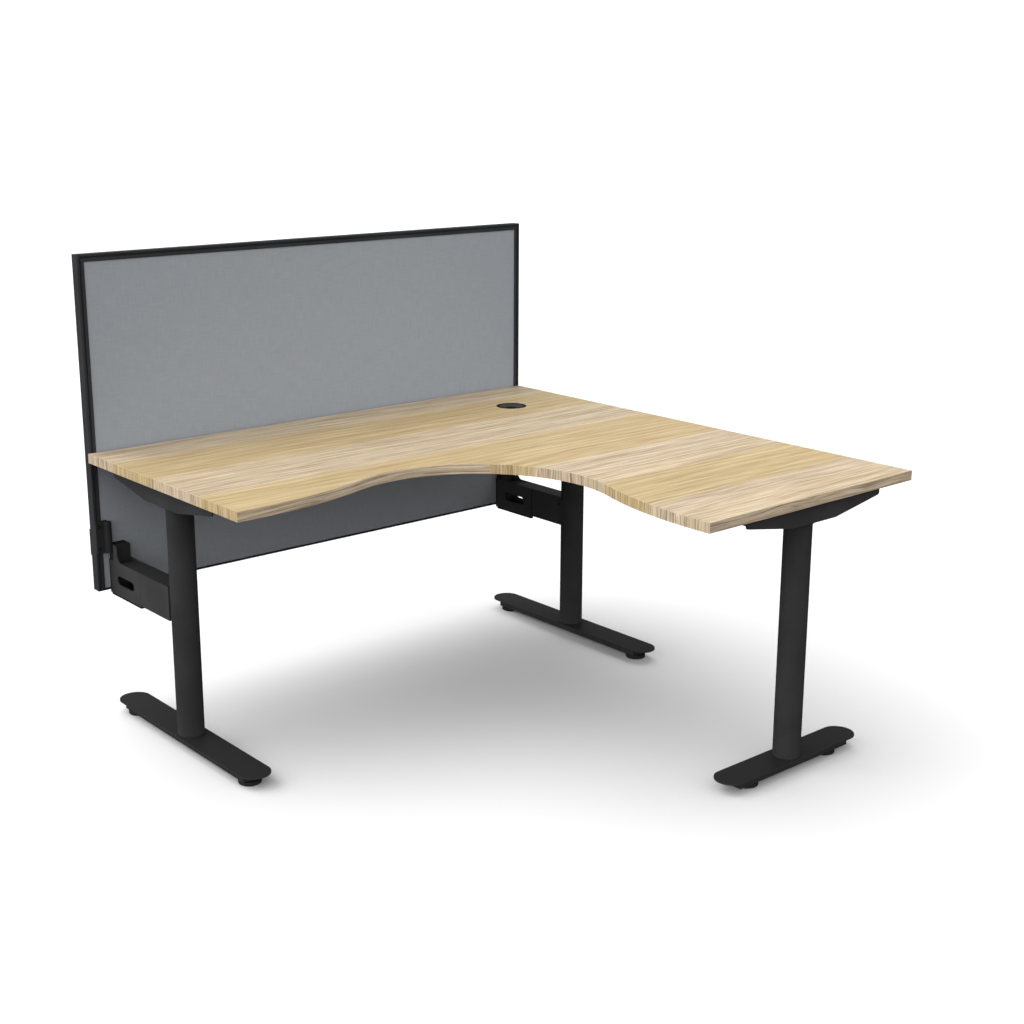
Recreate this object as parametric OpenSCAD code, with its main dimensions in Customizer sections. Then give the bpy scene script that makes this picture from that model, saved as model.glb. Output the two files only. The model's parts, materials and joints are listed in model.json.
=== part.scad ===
// Corner workstation: an L-shaped worktop with a curved user bay on three T-legs,
// and a fabric screen behind it that is carried on two telescoping arms.
// Lengths are in millimetres. X runs along the screen, Y points from the user
// to the screen, and Z is up from the floor.

/* [Worktop] */
// Length of each of the two straight back edges.
top_w = 1500; // [1480:5:1540]
// Depth of both wings at their free ends.
wing_d = 750; // [742:1:760]
// Thickness of the board.
top_t = 25; // [22:1:30]
// Height of the board's upper face above the floor.
top_z = 730; // [715:5:760]
// Radius of the curved bay where the user sits.
bay_r = 333; // [325:1:340]
// Distance of the bay's centre from both back edges.
bay_c = 1004; // [998:1:1010]
// Radius of the flare that leads from a wing's front edge into the bay.
flare_r = 980; // [930:10:1020]
// Thickness of the band round the board's edge.
band_t = 2; // [1:0.1:3]

/* [Grommet] */
// Distance of the grommet's centre from both back edges.
grommet_in = 235; // [220:5:260]
// Radius of the hole through the board.
hole_r = 40; // [39.5:0.1:41]
// Radius of the liner's flange.
flange_r = 45.5; // [43:0.5:50]
// Thickness of the liner's flange, which lies flush in the board.
flange_t = 2; // [1.4:0.1:3]
// Wall thickness of the liner below the flange.
liner_wall = 2.2; // [1.6:0.1:2.4]
// Depth of the liner below the board's upper face.
liner_h = 22; // [15:1:24]
// Radius of the recess that the cap lies in.
recess_r = 36; // [35.5:0.1:36.5]
// Radius of the open throat inside the cap's ledge.
throat_r = 33.5; // [33.2:0.1:34]
// Thickness of the ledge that the cap rests on.
ledge_t = 2; // [1.2:0.1:3]
// Thickness of the cap.
cap_t = 3; // [2.6:0.1:4]
// Radius of the far side of the crescent slot, measured from the cap's centre.
slot_far_r = 31.5; // [30:0.1:32]
// Radius of the near side of the crescent slot.
slot_near_r = 24; // [22:0.5:25]
// Distance from the cap's centre to the centre of the slot's near side.
slot_near_c = 38; // [37:0.5:40]
// Thickness of the shutter under the cap.
shutter_t = 1.5; // [1:0.1:2]
// Half the angle that the shutter covers.
shutter_half = 43; // [41:1:46]
// Radius of the shutter's hub.
hub_r = 9; // [7:0.5:11]
// Radius of the cap's pivot.
pivot_r = 4; // [3:0.5:5]
// Radius of the head that keeps the shutter on the pivot.
pivot_head_r = 5.5; // [5:0.5:6.5]
// Height of that head.
pivot_head_h = 1.2; // [0.8:0.1:2]

/* [Legs] */
// Distance of the leg axes from the worktop's side edges.
leg_in = 76; // [74:1:80]
// Distance of the left and corner leg axes from the worktop's back edge.
leg_back = 340.5; // [338:0.5:346]
// Distance of the end leg's axis from the worktop's right edge.
end_leg_in = 345; // [340:1:356]
// Radius of a column.
column_r = 35; // [34:0.5:36]
// Wall thickness of a column.
column_wall = 2.5; // [2:0.1:3.5]
// Radius of the collar at a column's top.
collar_r = 38; // [36.5:0.5:42]
// Height of the collar.
collar_h = 8; // [4:0.5:12]
// Thickness of the discs that close a column's two ends.
disc_t = 6; // [4:0.5:8]
// Distance of the column bolts from the column's axis.
bolt_c = 18.5; // [17.5:0.5:18.5]
// Radius of a column bolt.
bolt_r = 4; // [3:0.5:4.5]
// Radius of a column bolt's head.
bolt_head_r = 6.5; // [5.5:0.5:7]
// Height of a column bolt's head.
bolt_head_h = 6; // [4:0.5:7]

/* [Feet] */
// Length of the left and corner feet.
foot_l = 700; // [660:5:715]
// Length of the end leg's foot.
end_foot_l = 500; // [470:5:520]
// Width of a foot, whose ends are half circles.
foot_w = 84; // [78:1:90]
// Height of a foot's upper face above the floor.
foot_z = 35.5; // [35:0.5:38]
// Thickness of a foot's plate.
foot_t = 4; // [3:0.5:5]
// Width of the rail under a foot's plate.
tray_w = 60; // [56:1:64]
// Height of that rail's underside above the floor.
tray_z = 13; // [12.5:0.5:14]
// Wall thickness of that rail.
tray_wall = 2.5; // [2:0.1:3]
// Distance of that rail's ends from the foot's ends.
tray_in = 43; // [40:0.5:48]
// Radius of the holes that a bolt's head passes through.
access_r = 8.5; // [7.5:0.5:9]

/* [Levellers] */
// Distance of the levellers from the ends of the long feet.
lev_in = 63; // [58:0.5:75]
// Distance of the levellers from the ends of the end leg's foot.
end_lev_in = 100; // [90:0.5:110]
// Radius of a leveller's pad.
pad_r = 29; // [26:0.5:31]
// Height of the pad.
pad_h = 10.5; // [8:0.5:11]
// Radius of the grip above the pad.
grip_r = 23; // [18:0.5:25]
// Chamfer of the pad's two rims.
pad_chamfer = 1; // [0.5:0.1:2]
// Radius of the stud.
stud_r = 5; // [4:0.5:5.5]
// Distance of the stud's tip below the foot's plate.
stud_in = 1; // [0.5:0.1:1.5]
// Radius across the corners of the nut on the stud.
lev_nut_r = 9.8; // [8.5:0.1:11]
// Height of that nut.
lev_nut_h = 10; // [7:0.5:10]

/* [Support arms] */
// Length of the arm that a column carries under the worktop.
arm_l = 500; // [490:5:510]
// Width of the arm.
arm_w = 100; // [96:1:104]
// Height of the arm over the column.
arm_h = 54; // [52:1:58]
// Height of the arm at its two ends.
arm_end_h = 25; // [20:1:30]
// Length of the level part of the arm's underside.
arm_flat = 160; // [150:5:170]
// Sheet thickness of the arm.
arm_t = 3; // [2:0.5:4]
// Radius of the lower corner at each end.
arm_corner = 7; // [5:0.5:12]
// Width of the lips that the worktop is screwed to.
arm_lip = 20; // [18:0.5:24]
// Distance of the arm's folded end walls from the heads of the nearest rail bolts.
end_wall_gap = 1.5; // [1:0.5:2]
// Distance of the worktop screws from the arm's ends.
screw_in = 56; // [54:1:60]
// Distance of the worktop screws from the arm's sides.
screw_side = 11.5; // [11:0.5:13]
// Radius of a worktop screw.
screw_r = 2.25; // [2:0.25:2.5]
// Length of thread that enters the worktop.
screw_bite = 15; // [12:1:18]
// Radius of a worktop screw's head.
screw_head_r = 4.5; // [4:0.5:5]
// Height of a worktop screw's head.
screw_head_h = 3; // [2:0.5:4]
// Radius of the holes that the worktop screws are reached through.
screw_access_r = 6; // [5.5:0.5:7]

/* [Rails] */
// Distance of the back and front rails from the leg axes.
rail_off = 196; // [190:1:198]
// Distance of the side rails from the end leg's axis.
side_rail_off = 150; // [140:1:160]
// Width of a rail.
rail_w = 30; // [25:1:35]
// Height of a rail.
rail_h = 30; // [27:1:32]
// Wall thickness of a rail.
rail_wall = 2; // [1.5:0.1:3]
// Distance of the rails below the worktop.
rail_drop = 2; // [1:0.5:3]
// Width of the plate that closes a rail's end.
plate_w = 62; // [60:1:64]
// Height of that plate.
plate_h = 26; // [22:1:27]
// Thickness of that plate.
plate_t = 3; // [2:0.5:4]
// Distance of the rail bolts from the rail's middle.
rail_bolt_off = 23; // [22.5:0.5:24]
// Radius of a rail bolt.
rail_bolt_r = 3; // [2.5:0.5:3.5]
// Radius of a rail bolt's head and of its nut.
rail_head_r = 5.5; // [5:0.5:6]
// Height of a rail bolt's head and of its nut.
rail_head_h = 4; // [3:0.5:5]

/* [Screen] */
// Distance of the screen's left end from the worktop's left edge.
screen_x = 6; // [4:0.5:8]
// Distance of the screen's right end from the worktop's right edge.
screen_right = 0; // [0:0.5:4]
// Height of the screen's underside above the floor.
screen_z = 348; // [340:1:350]
// Height of the screen.
screen_h = 900; // [850:10:950]
// Thickness of the screen's frame.
screen_t = 29; // [28.5:0.5:31]
// Gap between the screen and the worktop's back edge.
screen_gap = 2; // [1:0.5:5]
// Width of the frame's posts and top rail.
frame_w = 19; // [18.5:0.5:22]
// Distance of the frame's fixing groove from its outer edge.
groove_c = 8; // [7.5:0.1:8.2]
// Width of the groove's mouth.
groove_w = 5; // [4.6:0.1:5.4]
// Width of the groove behind its mouth.
groove_in_w = 8; // [7.8:0.1:8.6]
// Thickness of the groove's lips.
groove_lip = 1.8; // [1.4:0.1:2]
// Depth of the groove behind its lips.
groove_d = 3; // [2.8:0.1:3.2]
// Wall thickness of the frame's closed chamber.
chamber_wall = 2; // [1.5:0.1:2.3]
// Width of the frame's closed chamber.
chamber_w = 9; // [8:0.1:9.3]
// Depth of the frame's closed chamber.
chamber_t = 16; // [14:0.5:16.5]
// Distance of the panel channel's floor from the frame's outer edge.
channel_in = 13.5; // [13:0.1:14.5]
// Width of the panel channel.
channel_w = 25; // [24.8:0.1:25.2]
// Thickness of the panel's board.
core_t = 21.5; // [21:0.1:21.6]
// Thickness of the fabric on each side of it.
fabric_t = 1.5; // [1:0.1:1.5]
// Height of the bottom rail.
sill_h = 6; // [5:0.5:9]
// Thickness of the bottom rail's floor.
sill_t = 2; // [1.5:0.1:3]
// Thickness of the caps under the posts.
foot_cap_t = 2; // [1.5:0.1:3]
// Depth of a cap's plug inside the post.
foot_cap_plug = 8; // [5:1:15]
// Length of each leg of the corner keys.
key_l = 40; // [30:1:60]

/* [Screen arms] */
// Height of the arm's underside above the floor.
sleeve_z = 341; // [338:1:350]
// Height of the sleeve.
sleeve_h = 94; // [90:1:98]
// Width of the sleeve.
sleeve_w = 54; // [52:0.5:56]
// Wall thickness of the sleeve.
sleeve_wall = 3; // [2.5:0.1:3.2]
// Distance of the sleeve's open end from the worktop's back edge.
sleeve_end = 170; // [160:1:180]
// Clearance between the sleeve and the beam inside it.
slide_gap = 0.5; // [0.3:0.1:0.6]
// Wall thickness of the beam.
beam_wall = 2.5; // [2:0.1:3]
// Distance of the beam's free end from the worktop's back edge.
beam_end = 50; // [46:1:60]
// Distance of the slots' centre line above the sleeve's underside.
side_slot_z = 44; // [42:0.5:47]
// Width of the sleeve's side slots.
side_slot_w = 25; // [22:0.5:25]
// Distance of the sleeve slots' rear end from the worktop's back edge.
side_slot_from = 41; // [38:0.5:44]
// Length of the sleeve's side slots.
side_slot_l = 93.5; // [88:0.5:94]
// Width of the open slots in the beam.
beam_slot_w = 26; // [25:0.5:28]
// Distance of the beam slots' closed end from the worktop's back edge.
beam_slot_to = 135; // [134:0.5:140]
// Distance of the front end of the sleeve's top opening from the back edge.
mouth_to = 102; // [96:1:110]
// Radius of that opening's curved front end.
mouth_r = 36; // [28:1:60]
// Width of the tab on the sleeve's outer wall.
tab_w = 19; // [15:0.5:22]
// Radius of the tab's free corner and of the root block's upper corner.
tab_corner = 8; // [3:0.5:9]
// Radius of the hollow curve between the tab and the sleeve's upper edge.
tab_fillet = 20; // [12:0.5:22]

/* [Screen clamps] */
// Thickness of the clamp's flat plates.
jaw_t = 7; // [6:0.5:8]
// Height of the jaw's lower edge above the sleeve's underside.
jaw_z = 114; // [110:1:118]
// Height of the jaw.
jaw_h = 88; // [84:1:92]
// Depth of the root block from the screen's face.
root_d = 28; // [25:0.5:32]
// Height of the root block's top above the sleeve's underside.
root_h = 137; // [133:1:142]
// Radius of the round boss between the jaw and the root block.
boss_r = 10.2; // [9.5:0.1:11]
// Distance of the boss's axis from the sleeve's outer wall, towards the post.
boss_out = 3; // [2:0.5:4]
// Radius of the boss's rounded top edge.
boss_round = 5; // [3:0.5:6]
// Height of the boss.
boss_h = 86; // [82:1:90]
// Distance of the jaw screws from the jaw's lower and upper edges.
jaw_screw_in = 13.5; // [11:0.5:16]
// Height of the rear plate.
rear_plate_h = 72; // [64:1:76]
// Distance of the rear plate's lower edge below the jaw's lower edge.
rear_plate_drop = 11; // [8:1:14]
// Thickness of the rear plate.
rear_plate_t = 5; // [4:0.5:6]
// Distance of the rear plate's screws from its ends.
rear_screw_in = 15; // [11:0.5:18]
// Radius of a clamp screw.
clamp_screw_r = 2; // [1.5:0.1:2.2]
// Radius of a clamp screw's head.
clamp_head_r = 4.5; // [3.5:0.5:5]
// Height of a clamp screw's head.
clamp_head_h = 2.5; // [2:0.1:3]
// Length of thread in the root block of the screw under the sleeve.
root_screw_l = 10; // [6:1:14]
// Distance of the pinch screw under the sleeve from the sleeve's open end.
pinch_in = 20; // [14:1:26]
// Length of a groove nut.
groove_nut_l = 12; // [10:0.5:16]

/* [Beam cover] */
// Gap between the sleeve and the beam's cover, which lies flush with it.
cover_gap = 0.6; // [0.5:0.1:1.5]
// Distance of the cover's front end from the worktop's back edge.
cover_to = 322; // [300:1:324]
// Radius of the small screws in the beam and the sleeve.
small_r = 2.5; // [2:0.25:3]
// Radius of a small screw's head.
small_head_r = 4.5; // [4:0.5:5]
// Height of a small screw's head.
small_head_h = 2.5; // [1.5:0.1:2.8]
// Length of the lug welded to a column inside the beam, from the column's axis.
lug_l = 57; // [52:0.5:60]
// Height of the lug.
lug_h = 30; // [24:1:36]
// Height of the lug's lower edge above the sleeve's underside.
lug_z = 54; // [48:1:58]
// Distance of the side screw from the column's axis.
lug_screw = 45; // [41:0.5:47]
// Thickness of the lug.
lug_t = 4.7; // [4:0.1:6]

/* [Hidden] */
// Clearance between pieces that fit into each other.
gap = 0.3;
// Length by which a cutting shape passes the face that it cuts.
over = 1;
// Number of segments of a small circle, a middle one and a large one.
small_fn = 24;
mid_fn = 48;
large_fn = 180;

// Heights of the worktop's underside, the arms' underside and the foot rails' top.
top_under = top_z - top_t;
arm_z = top_under - arm_h;
tray_top = foot_z - foot_t;
tray_h = tray_top - tray_z;

// Greatest distance of any piece behind the worktop's back edge.
screen_back = screen_gap + screen_t;
back_reach = screen_back + rear_plate_t + clamp_head_h;

// Axes of the three legs.
left_leg = [leg_in, -leg_back];
corner_leg = [top_w - leg_in, -leg_back];
end_leg = [top_w - end_leg_in, leg_in - top_w];

// Centres of the bay and of the left flare.
bay = [top_w - bay_c, -bay_c];
flare_y = flare_r - wing_d;
flare_x = bay.x - sqrt(pow(bay_r + flare_r, 2) - pow(bay.y - flare_y, 2));
flare = [flare_x, flare_y];

// Grommet, liner and cap.
grommet = [top_w - grommet_in, -grommet_in];
ledge_z = top_z - cap_t;
liner_r = hole_r - gap;
cap_r = recess_r - gap;
shutter_r = throat_r - 2 * gap;
shutter_z = ledge_z - gap - shutter_t;
pivot_z = shutter_z - gap - pivot_head_h;
slot_angle = 225;
shutter_rest = slot_angle + 90;

// Outer faces of the arms' end walls, which stand between the two bolts of a rail.
end_wall_y = rail_off + rail_bolt_off - rail_head_r - end_wall_gap;

// Slope of the tapered underside of a support arm.
arm_slope = atan2(arm_h - arm_end_h, (arm_l - arm_flat) / 2);

// Extents of the rails under the worktop.
rail_z = top_under - rail_drop - rail_h;
plate_z = top_under - rail_drop - plate_h;
rail_x0 = leg_in + arm_w / 2;
back_rail_y = -leg_back + rail_off;
front_rail_y = -leg_back - rail_off;
side_y0 = leg_in + arm_w / 2 - top_w;
side_y1 = front_rail_y - rail_w / 2;

// Beam section, which fills the sleeve but for the sliding clearance.
arm_x = leg_in - column_r;
beam_in = sleeve_wall + slide_gap;
beam_x = arm_x + beam_in;
beam_w = sleeve_w - 2 * beam_in;
beam_z = sleeve_z + beam_in;
beam_h = sleeve_h - 2 * beam_in;
saddle_r = column_r + gap;

// Distance of the lug's near face from the column's axis, so that its far face
// clears the beam's inner wall.
lug_x = beam_x + beam_w - beam_wall - gap - lug_t - leg_in;
lug_screw_z = sleeve_z + lug_z + lug_h / 2;
side_slot_mid = sleeve_z + side_slot_z;

// Faces of the clamp.
jaw_front = screen_gap - jaw_t;
root_front = screen_gap - root_d;
root_screw_y = (root_front + jaw_front) / 2;

// Length of the screen.
screen_w = top_w - screen_x - screen_right;

// Panel inside the frame.
panel_t = core_t + 2 * fabric_t;
panel_in = channel_in + gap;
panel_y = screen_gap + (screen_t - panel_t) / 2;
panel_z0 = screen_z + max(sill_t, foot_cap_t) + gap;
panel_z1 = screen_z + screen_h - panel_in;

// Moves the desk so that the middle of its ground plan is the origin.
module in_frame() {
    translate([-top_w / 2, (top_w - back_reach) / 2, 0]) children();
}

// The same shape at the right end of the screen.
module other_side() {
    translate([top_w, 0, 0]) mirror([1, 0, 0]) children();
}

// A flat outline drawn in Y and Z, pulled along X from a given place.
module along_x(x, length) {
    translate([x, 0, 0]) rotate([90, 0, 90]) linear_extrude(length) children();
}

// A flat outline drawn in X and Z, pulled along Y from a given place.
module along_y(y, length) {
    translate([0, y + length, 0]) rotate([90, 0, 0]) linear_extrude(length) children();
}

// A fastener that points up from the origin: its head below, its shank above.
module screw_up(shank_r, shank_l, head_r, head_h) {
    translate([0, 0, -head_h]) cylinder(r = head_r, h = head_h, $fn = small_fn);
    cylinder(r = shank_r, h = shank_l, $fn = small_fn);
}

// Cut-away part of the worktop on the left of its diagonal.
module bay_half(inset) {
    reach = bay_r + inset;
    front = inset - wing_d;
    joint = bay + (flare - bay) * reach / (bay_r + flare_r);
    translate([-over, -top_w - over]) square([flare.x + over, top_w + over + front]);
    difference() {
        polygon([[flare.x, front], joint, bay, [flare.x, bay.y]]);
        translate(flare) circle(r = flare_r - inset, $fn = large_fn * 2);
    }
}

// Outline of the worktop, set in from its edge by a given amount.
module worktop_outline(inset) {
    difference() {
        translate([inset, inset - top_w]) square(top_w - 2 * inset);
        translate([-over, -top_w - over]) square([bay.x + over, top_w + over + bay.y]);
        translate(bay) circle(r = bay_r + inset, $fn = large_fn);
        bay_half(inset);
        translate([top_w, 0]) mirror([1, -1]) translate([-top_w, 0]) bay_half(inset);
    }
}

// The four places on a support arm where the worktop is screwed down.
module at_worktop_screws() {
    for (x = [-1, 1], y = [-1, 1])
        translate([x * (arm_w / 2 - screw_side), y * (arm_l / 2 - screw_in), 0]) children();
}

// The four places round a leg's axis where the column is bolted.
module at_column_bolts() {
    for (a = [0, 90, 180, 270]) rotate(a) translate([bolt_c, 0, 0]) children();
}

// The three legs, each with its arm along local Y.
module at_legs() {
    translate(left_leg) children();
    translate(corner_leg) children();
    translate(end_leg) rotate(90) children();
}

// Board with the grommet's hole and rebate and the screws' pilot holes.
module worktop_panel() {
    color([0.84, 0.76, 0.62]) in_frame() difference() {
        translate([0, 0, top_under]) linear_extrude(top_t) worktop_outline(band_t);
        translate([grommet.x, grommet.y, top_under - over])
            cylinder(r = hole_r, h = top_t + 2 * over, $fn = 96);
        translate([grommet.x, grommet.y, top_z - flange_t])
            cylinder(r = flange_r + gap, h = flange_t + over, $fn = 96);
        at_legs() at_worktop_screws() translate([0, 0, top_under - over])
            cylinder(r = screw_r + gap, h = screw_bite + 2 * over, $fn = small_fn);
    }
}

// Band that covers the board's edge all the way round.
module edge_band() {
    color([0.8, 0.72, 0.58]) in_frame() translate([0, 0, top_under])
        linear_extrude(top_t) difference() {
            worktop_outline(0);
            worktop_outline(band_t);
        }
}

// Screws that hold the worktop on the support arms.
module worktop_screws() {
    color([0.3, 0.3, 0.32]) in_frame() at_legs() at_worktop_screws()
        translate([0, 0, top_under - arm_t])
            screw_up(screw_r, arm_t + screw_bite, screw_head_r, screw_head_h);
}

// Liner of the cable hole: a flush flange, a ledge for the cap and a skirt below.
module grommet_liner() {
    color([0.12, 0.12, 0.13]) in_frame() translate([grommet.x, grommet.y, 0])
        rotate_extrude($fn = 96) polygon([
            [recess_r, ledge_z],
            [recess_r, top_z],
            [flange_r, top_z],
            [flange_r, top_z - flange_t],
            [liner_r, top_z - flange_t],
            [liner_r, top_z - liner_h],
            [liner_r - liner_wall, top_z - liner_h],
            [liner_r - liner_wall, ledge_z - ledge_t],
            [throat_r, ledge_z - ledge_t],
            [throat_r, ledge_z]
        ]);
}

// Crescent slot of the cap, pointing along X.
module crescent() {
    intersection() {
        circle(r = slot_far_r, $fn = 96);
        translate([slot_near_c, 0]) circle(r = slot_near_r, $fn = 96);
    }
}

// Lift-out cap with its crescent slot and the pivot that carries the shutter.
module grommet_cap() {
    color([0.2, 0.21, 0.22]) in_frame() translate([grommet.x, grommet.y, 0]) {
        translate([0, 0, ledge_z]) linear_extrude(cap_t) difference() {
            circle(r = cap_r, $fn = 96);
            rotate(slot_angle) crescent();
        }
        translate([0, 0, pivot_z]) cylinder(r = pivot_r, h = ledge_z - pivot_z, $fn = mid_fn);
        translate([0, 0, pivot_z]) cylinder(r = pivot_head_r, h = pivot_head_h, $fn = mid_fn);
    }
}

// Shutter that turns on the cap's pivot and can close the crescent slot.
module grommet_shutter() {
    reach = shutter_r / cos(shutter_half);
    color([0.1, 0.1, 0.11]) in_frame() translate([grommet.x, grommet.y, shutter_z])
        linear_extrude(shutter_t) difference() {
            union() {
                intersection() {
                    circle(r = shutter_r, $fn = 96);
                    rotate(shutter_rest) polygon([
                        [0, 0],
                        [shutter_r, -shutter_r * tan(shutter_half)],
                        [reach, 0],
                        [shutter_r, shutter_r * tan(shutter_half)]
                    ]);
                }
                circle(r = hub_r, $fn = mid_fn);
            }
            circle(r = pivot_r + gap, $fn = mid_fn);
        }
}

// Round tube of a leg, closed by a disc at each end, with a collar under the arm.
module column_tube() {
    difference() {
        union() {
            translate([0, 0, foot_z]) cylinder(r = column_r, h = arm_z - foot_z, $fn = 96);
            translate([0, 0, arm_z - collar_h]) cylinder(r = collar_r, h = collar_h, $fn = 96);
        }
        translate([0, 0, foot_z + disc_t])
            cylinder(r = column_r - column_wall, h = arm_z - foot_z - 2 * disc_t, $fn = 96);
        at_column_bolts() translate([0, 0, foot_z - over])
            cylinder(r = bolt_r + gap, h = disc_t + 2 * over, $fn = small_fn);
        at_column_bolts() translate([0, 0, arm_z - disc_t - over])
            cylinder(r = bolt_r + gap, h = disc_t + 2 * over, $fn = small_fn);
    }
}

// Lug on a column that the beam of the screen arm is screwed to.
module beam_lug() {
    start = sqrt(pow(column_r - column_wall, 2) - pow(lug_x, 2));
    difference() {
        translate([lug_x, start, sleeve_z + lug_z]) cube([lug_t, lug_l - start, lug_h]);
        along_x(lug_x - over, lug_t + 2 * over)
            translate([lug_screw, lug_screw_z])
                circle(r = small_r + gap, $fn = small_fn);
    }
}

module column_left() {
    color([0.14, 0.14, 0.15]) in_frame() translate(left_leg) {
        column_tube();
        beam_lug();
    }
}

module column_corner() {
    color([0.14, 0.14, 0.15]) in_frame() translate(corner_leg) {
        column_tube();
        mirror([1, 0, 0]) beam_lug();
    }
}

module column_end() {
    color([0.14, 0.14, 0.15]) in_frame() translate(end_leg) rotate(90) column_tube();
}

// Flat plate of a foot, along Y, with a half circle at each end.
module foot_plate(length) {
    translate([0, 0, foot_z - foot_t]) linear_extrude(foot_t) difference() {
        union() {
            square([foot_w, length - foot_w], center = true);
            for (y = [-1, 1])
                translate([0, y * (length - foot_w) / 2]) circle(r = foot_w / 2, $fn = 96);
        }
        at_column_bolts() circle(r = bolt_r + gap, $fn = small_fn);
    }
}

// Closed rail under a foot's plate, with holes for the studs and the column bolts.
module foot_rail(length, inset) {
    rail_l = length - 2 * tray_in;
    difference() {
        translate([-tray_w / 2, -rail_l / 2, tray_z]) cube([tray_w, rail_l, tray_h]);
        translate([tray_wall - tray_w / 2, tray_wall - rail_l / 2, tray_z + tray_wall])
            cube([tray_w - 2 * tray_wall, rail_l - 2 * tray_wall, tray_h - 2 * tray_wall]);
        for (y = [-1, 1]) translate([0, y * (length / 2 - inset), tray_z - over])
            cylinder(r = stud_r + gap, h = tray_h + 2 * over, $fn = mid_fn);
        at_column_bolts() translate([0, 0, tray_top - tray_wall - over])
            cylinder(r = bolt_r + gap, h = tray_wall + 2 * over, $fn = small_fn);
        at_column_bolts() translate([0, 0, tray_z - over])
            cylinder(r = access_r, h = tray_wall + 2 * over, $fn = mid_fn);
    }
}

// Screw foot: a pad with chamfered rims, a grip above it and a stud.
module leveller() {
    color([0.07, 0.07, 0.075]) rotate_extrude($fn = mid_fn) polygon([
        [0, 0],
        [pad_r - pad_chamfer, 0],
        [pad_r, pad_chamfer],
        [pad_r, pad_h - pad_chamfer],
        [pad_r - pad_chamfer, pad_h],
        [grip_r, pad_h],
        [grip_r, tray_z - gap],
        [stud_r, tray_z - gap],
        [stud_r, tray_top - stud_in],
        [0, tray_top - stud_in]
    ]);
}

// The leveller towards local +Y (end = 1) or -Y (end = -1) of a foot.
module leveller_at(length, inset, end) {
    translate([0, end * (length / 2 - inset), 0]) leveller();
}

module leveller_pair_nuts(length, inset) {
    for (y = [-1, 1]) translate([0, y * (length / 2 - inset), tray_z + tray_wall])
        difference() {
            cylinder(r = lev_nut_r, h = lev_nut_h, $fn = 6);
            translate([0, 0, -over])
                cylinder(r = stud_r + gap, h = lev_nut_h + 2 * over, $fn = mid_fn);
        }
}

module foot_left() {
    color([0.14, 0.14, 0.15]) in_frame() translate(left_leg) foot_plate(foot_l);
}

module foot_corner() {
    color([0.14, 0.14, 0.15]) in_frame() translate(corner_leg) foot_plate(foot_l);
}

module foot_end() {
    color([0.14, 0.14, 0.15]) in_frame() translate(end_leg) rotate(90) foot_plate(end_foot_l);
}

module foot_rail_left() {
    color([0.1, 0.1, 0.11]) in_frame() translate(left_leg) foot_rail(foot_l, lev_in);
}

module foot_rail_corner() {
    color([0.1, 0.1, 0.11]) in_frame() translate(corner_leg) foot_rail(foot_l, lev_in);
}

module foot_rail_end() {
    color([0.1, 0.1, 0.11]) in_frame() translate(end_leg) rotate(90)
        foot_rail(end_foot_l, end_lev_in);
}

module leveller_left_front() {
    in_frame() translate(left_leg) leveller_at(foot_l, lev_in, -1);
}

module leveller_left_rear() {
    in_frame() translate(left_leg) leveller_at(foot_l, lev_in, 1);
}

module leveller_corner_front() {
    in_frame() translate(corner_leg) leveller_at(foot_l, lev_in, -1);
}

module leveller_corner_rear() {
    in_frame() translate(corner_leg) leveller_at(foot_l, lev_in, 1);
}

module leveller_end_left() {
    in_frame() translate(end_leg) rotate(90) leveller_at(end_foot_l, end_lev_in, 1);
}

module leveller_end_right() {
    in_frame() translate(end_leg) rotate(90) leveller_at(end_foot_l, end_lev_in, -1);
}

// Weld nuts of all six levellers.
module leveller_nuts() {
    color([0.35, 0.35, 0.37]) in_frame() {
        translate(left_leg) leveller_pair_nuts(foot_l, lev_in);
        translate(corner_leg) leveller_pair_nuts(foot_l, lev_in);
        translate(end_leg) rotate(90) leveller_pair_nuts(end_foot_l, end_lev_in);
    }
}

// Bolts that hold the feet on the columns.
module foot_bolts() {
    color([0.3, 0.3, 0.32]) in_frame() at_legs() at_column_bolts()
        translate([0, 0, tray_top - tray_wall])
            screw_up(bolt_r, tray_wall + foot_t + disc_t, bolt_head_r, bolt_head_h);
}

// Bolts that hold the support arms on the columns.
module arm_bolts() {
    color([0.3, 0.3, 0.32]) in_frame() at_legs() at_column_bolts()
        translate([0, 0, arm_z + arm_t]) mirror([0, 0, 1])
            screw_up(bolt_r, arm_t + disc_t, bolt_head_r, bolt_head_h);
}

// Half of a support arm's side view, set in from its faces by a given amount.
module arm_half(inset) {
    corner = arm_corner - inset;
    end_y = arm_l / 2 - inset;
    flat_y = arm_flat / 2 - inset * tan(arm_slope / 2);
    low_z = arm_z + inset;
    mid_y = end_y - corner;
    mid_z = low_z + (mid_y - flat_y) * tan(arm_slope) + corner / cos(arm_slope);
    polygon([
        [-over, low_z],
        [flat_y, low_z],
        [mid_y + corner * sin(arm_slope), mid_z - corner * cos(arm_slope)],
        [mid_y, mid_z],
        [end_y, mid_z],
        [end_y, top_under],
        [-over, top_under]
    ]);
    translate([mid_y, mid_z]) circle(r = corner, $fn = mid_fn);
}

module arm_profile(inset) {
    arm_half(inset);
    mirror([1, 0]) arm_half(inset);
}

// Hollow of a support arm between its sides: closed by the two end walls inside,
// open at both ends beyond them.
module arm_hollow() {
    inner_w = arm_w - 2 * arm_t;
    inner_l = 2 * (end_wall_y - arm_t);
    intersection() {
        along_x(-inner_w / 2, inner_w) arm_profile(arm_t);
        translate([-arm_w / 2, -inner_l / 2, arm_z]) cube([arm_w, inner_l, arm_h]);
    }
    for (side = [0, 1]) mirror([0, side, 0])
        translate([-inner_w / 2, end_wall_y, arm_z - over])
            cube([inner_w, arm_l / 2 - end_wall_y + over, arm_h + over]);
}

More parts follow.
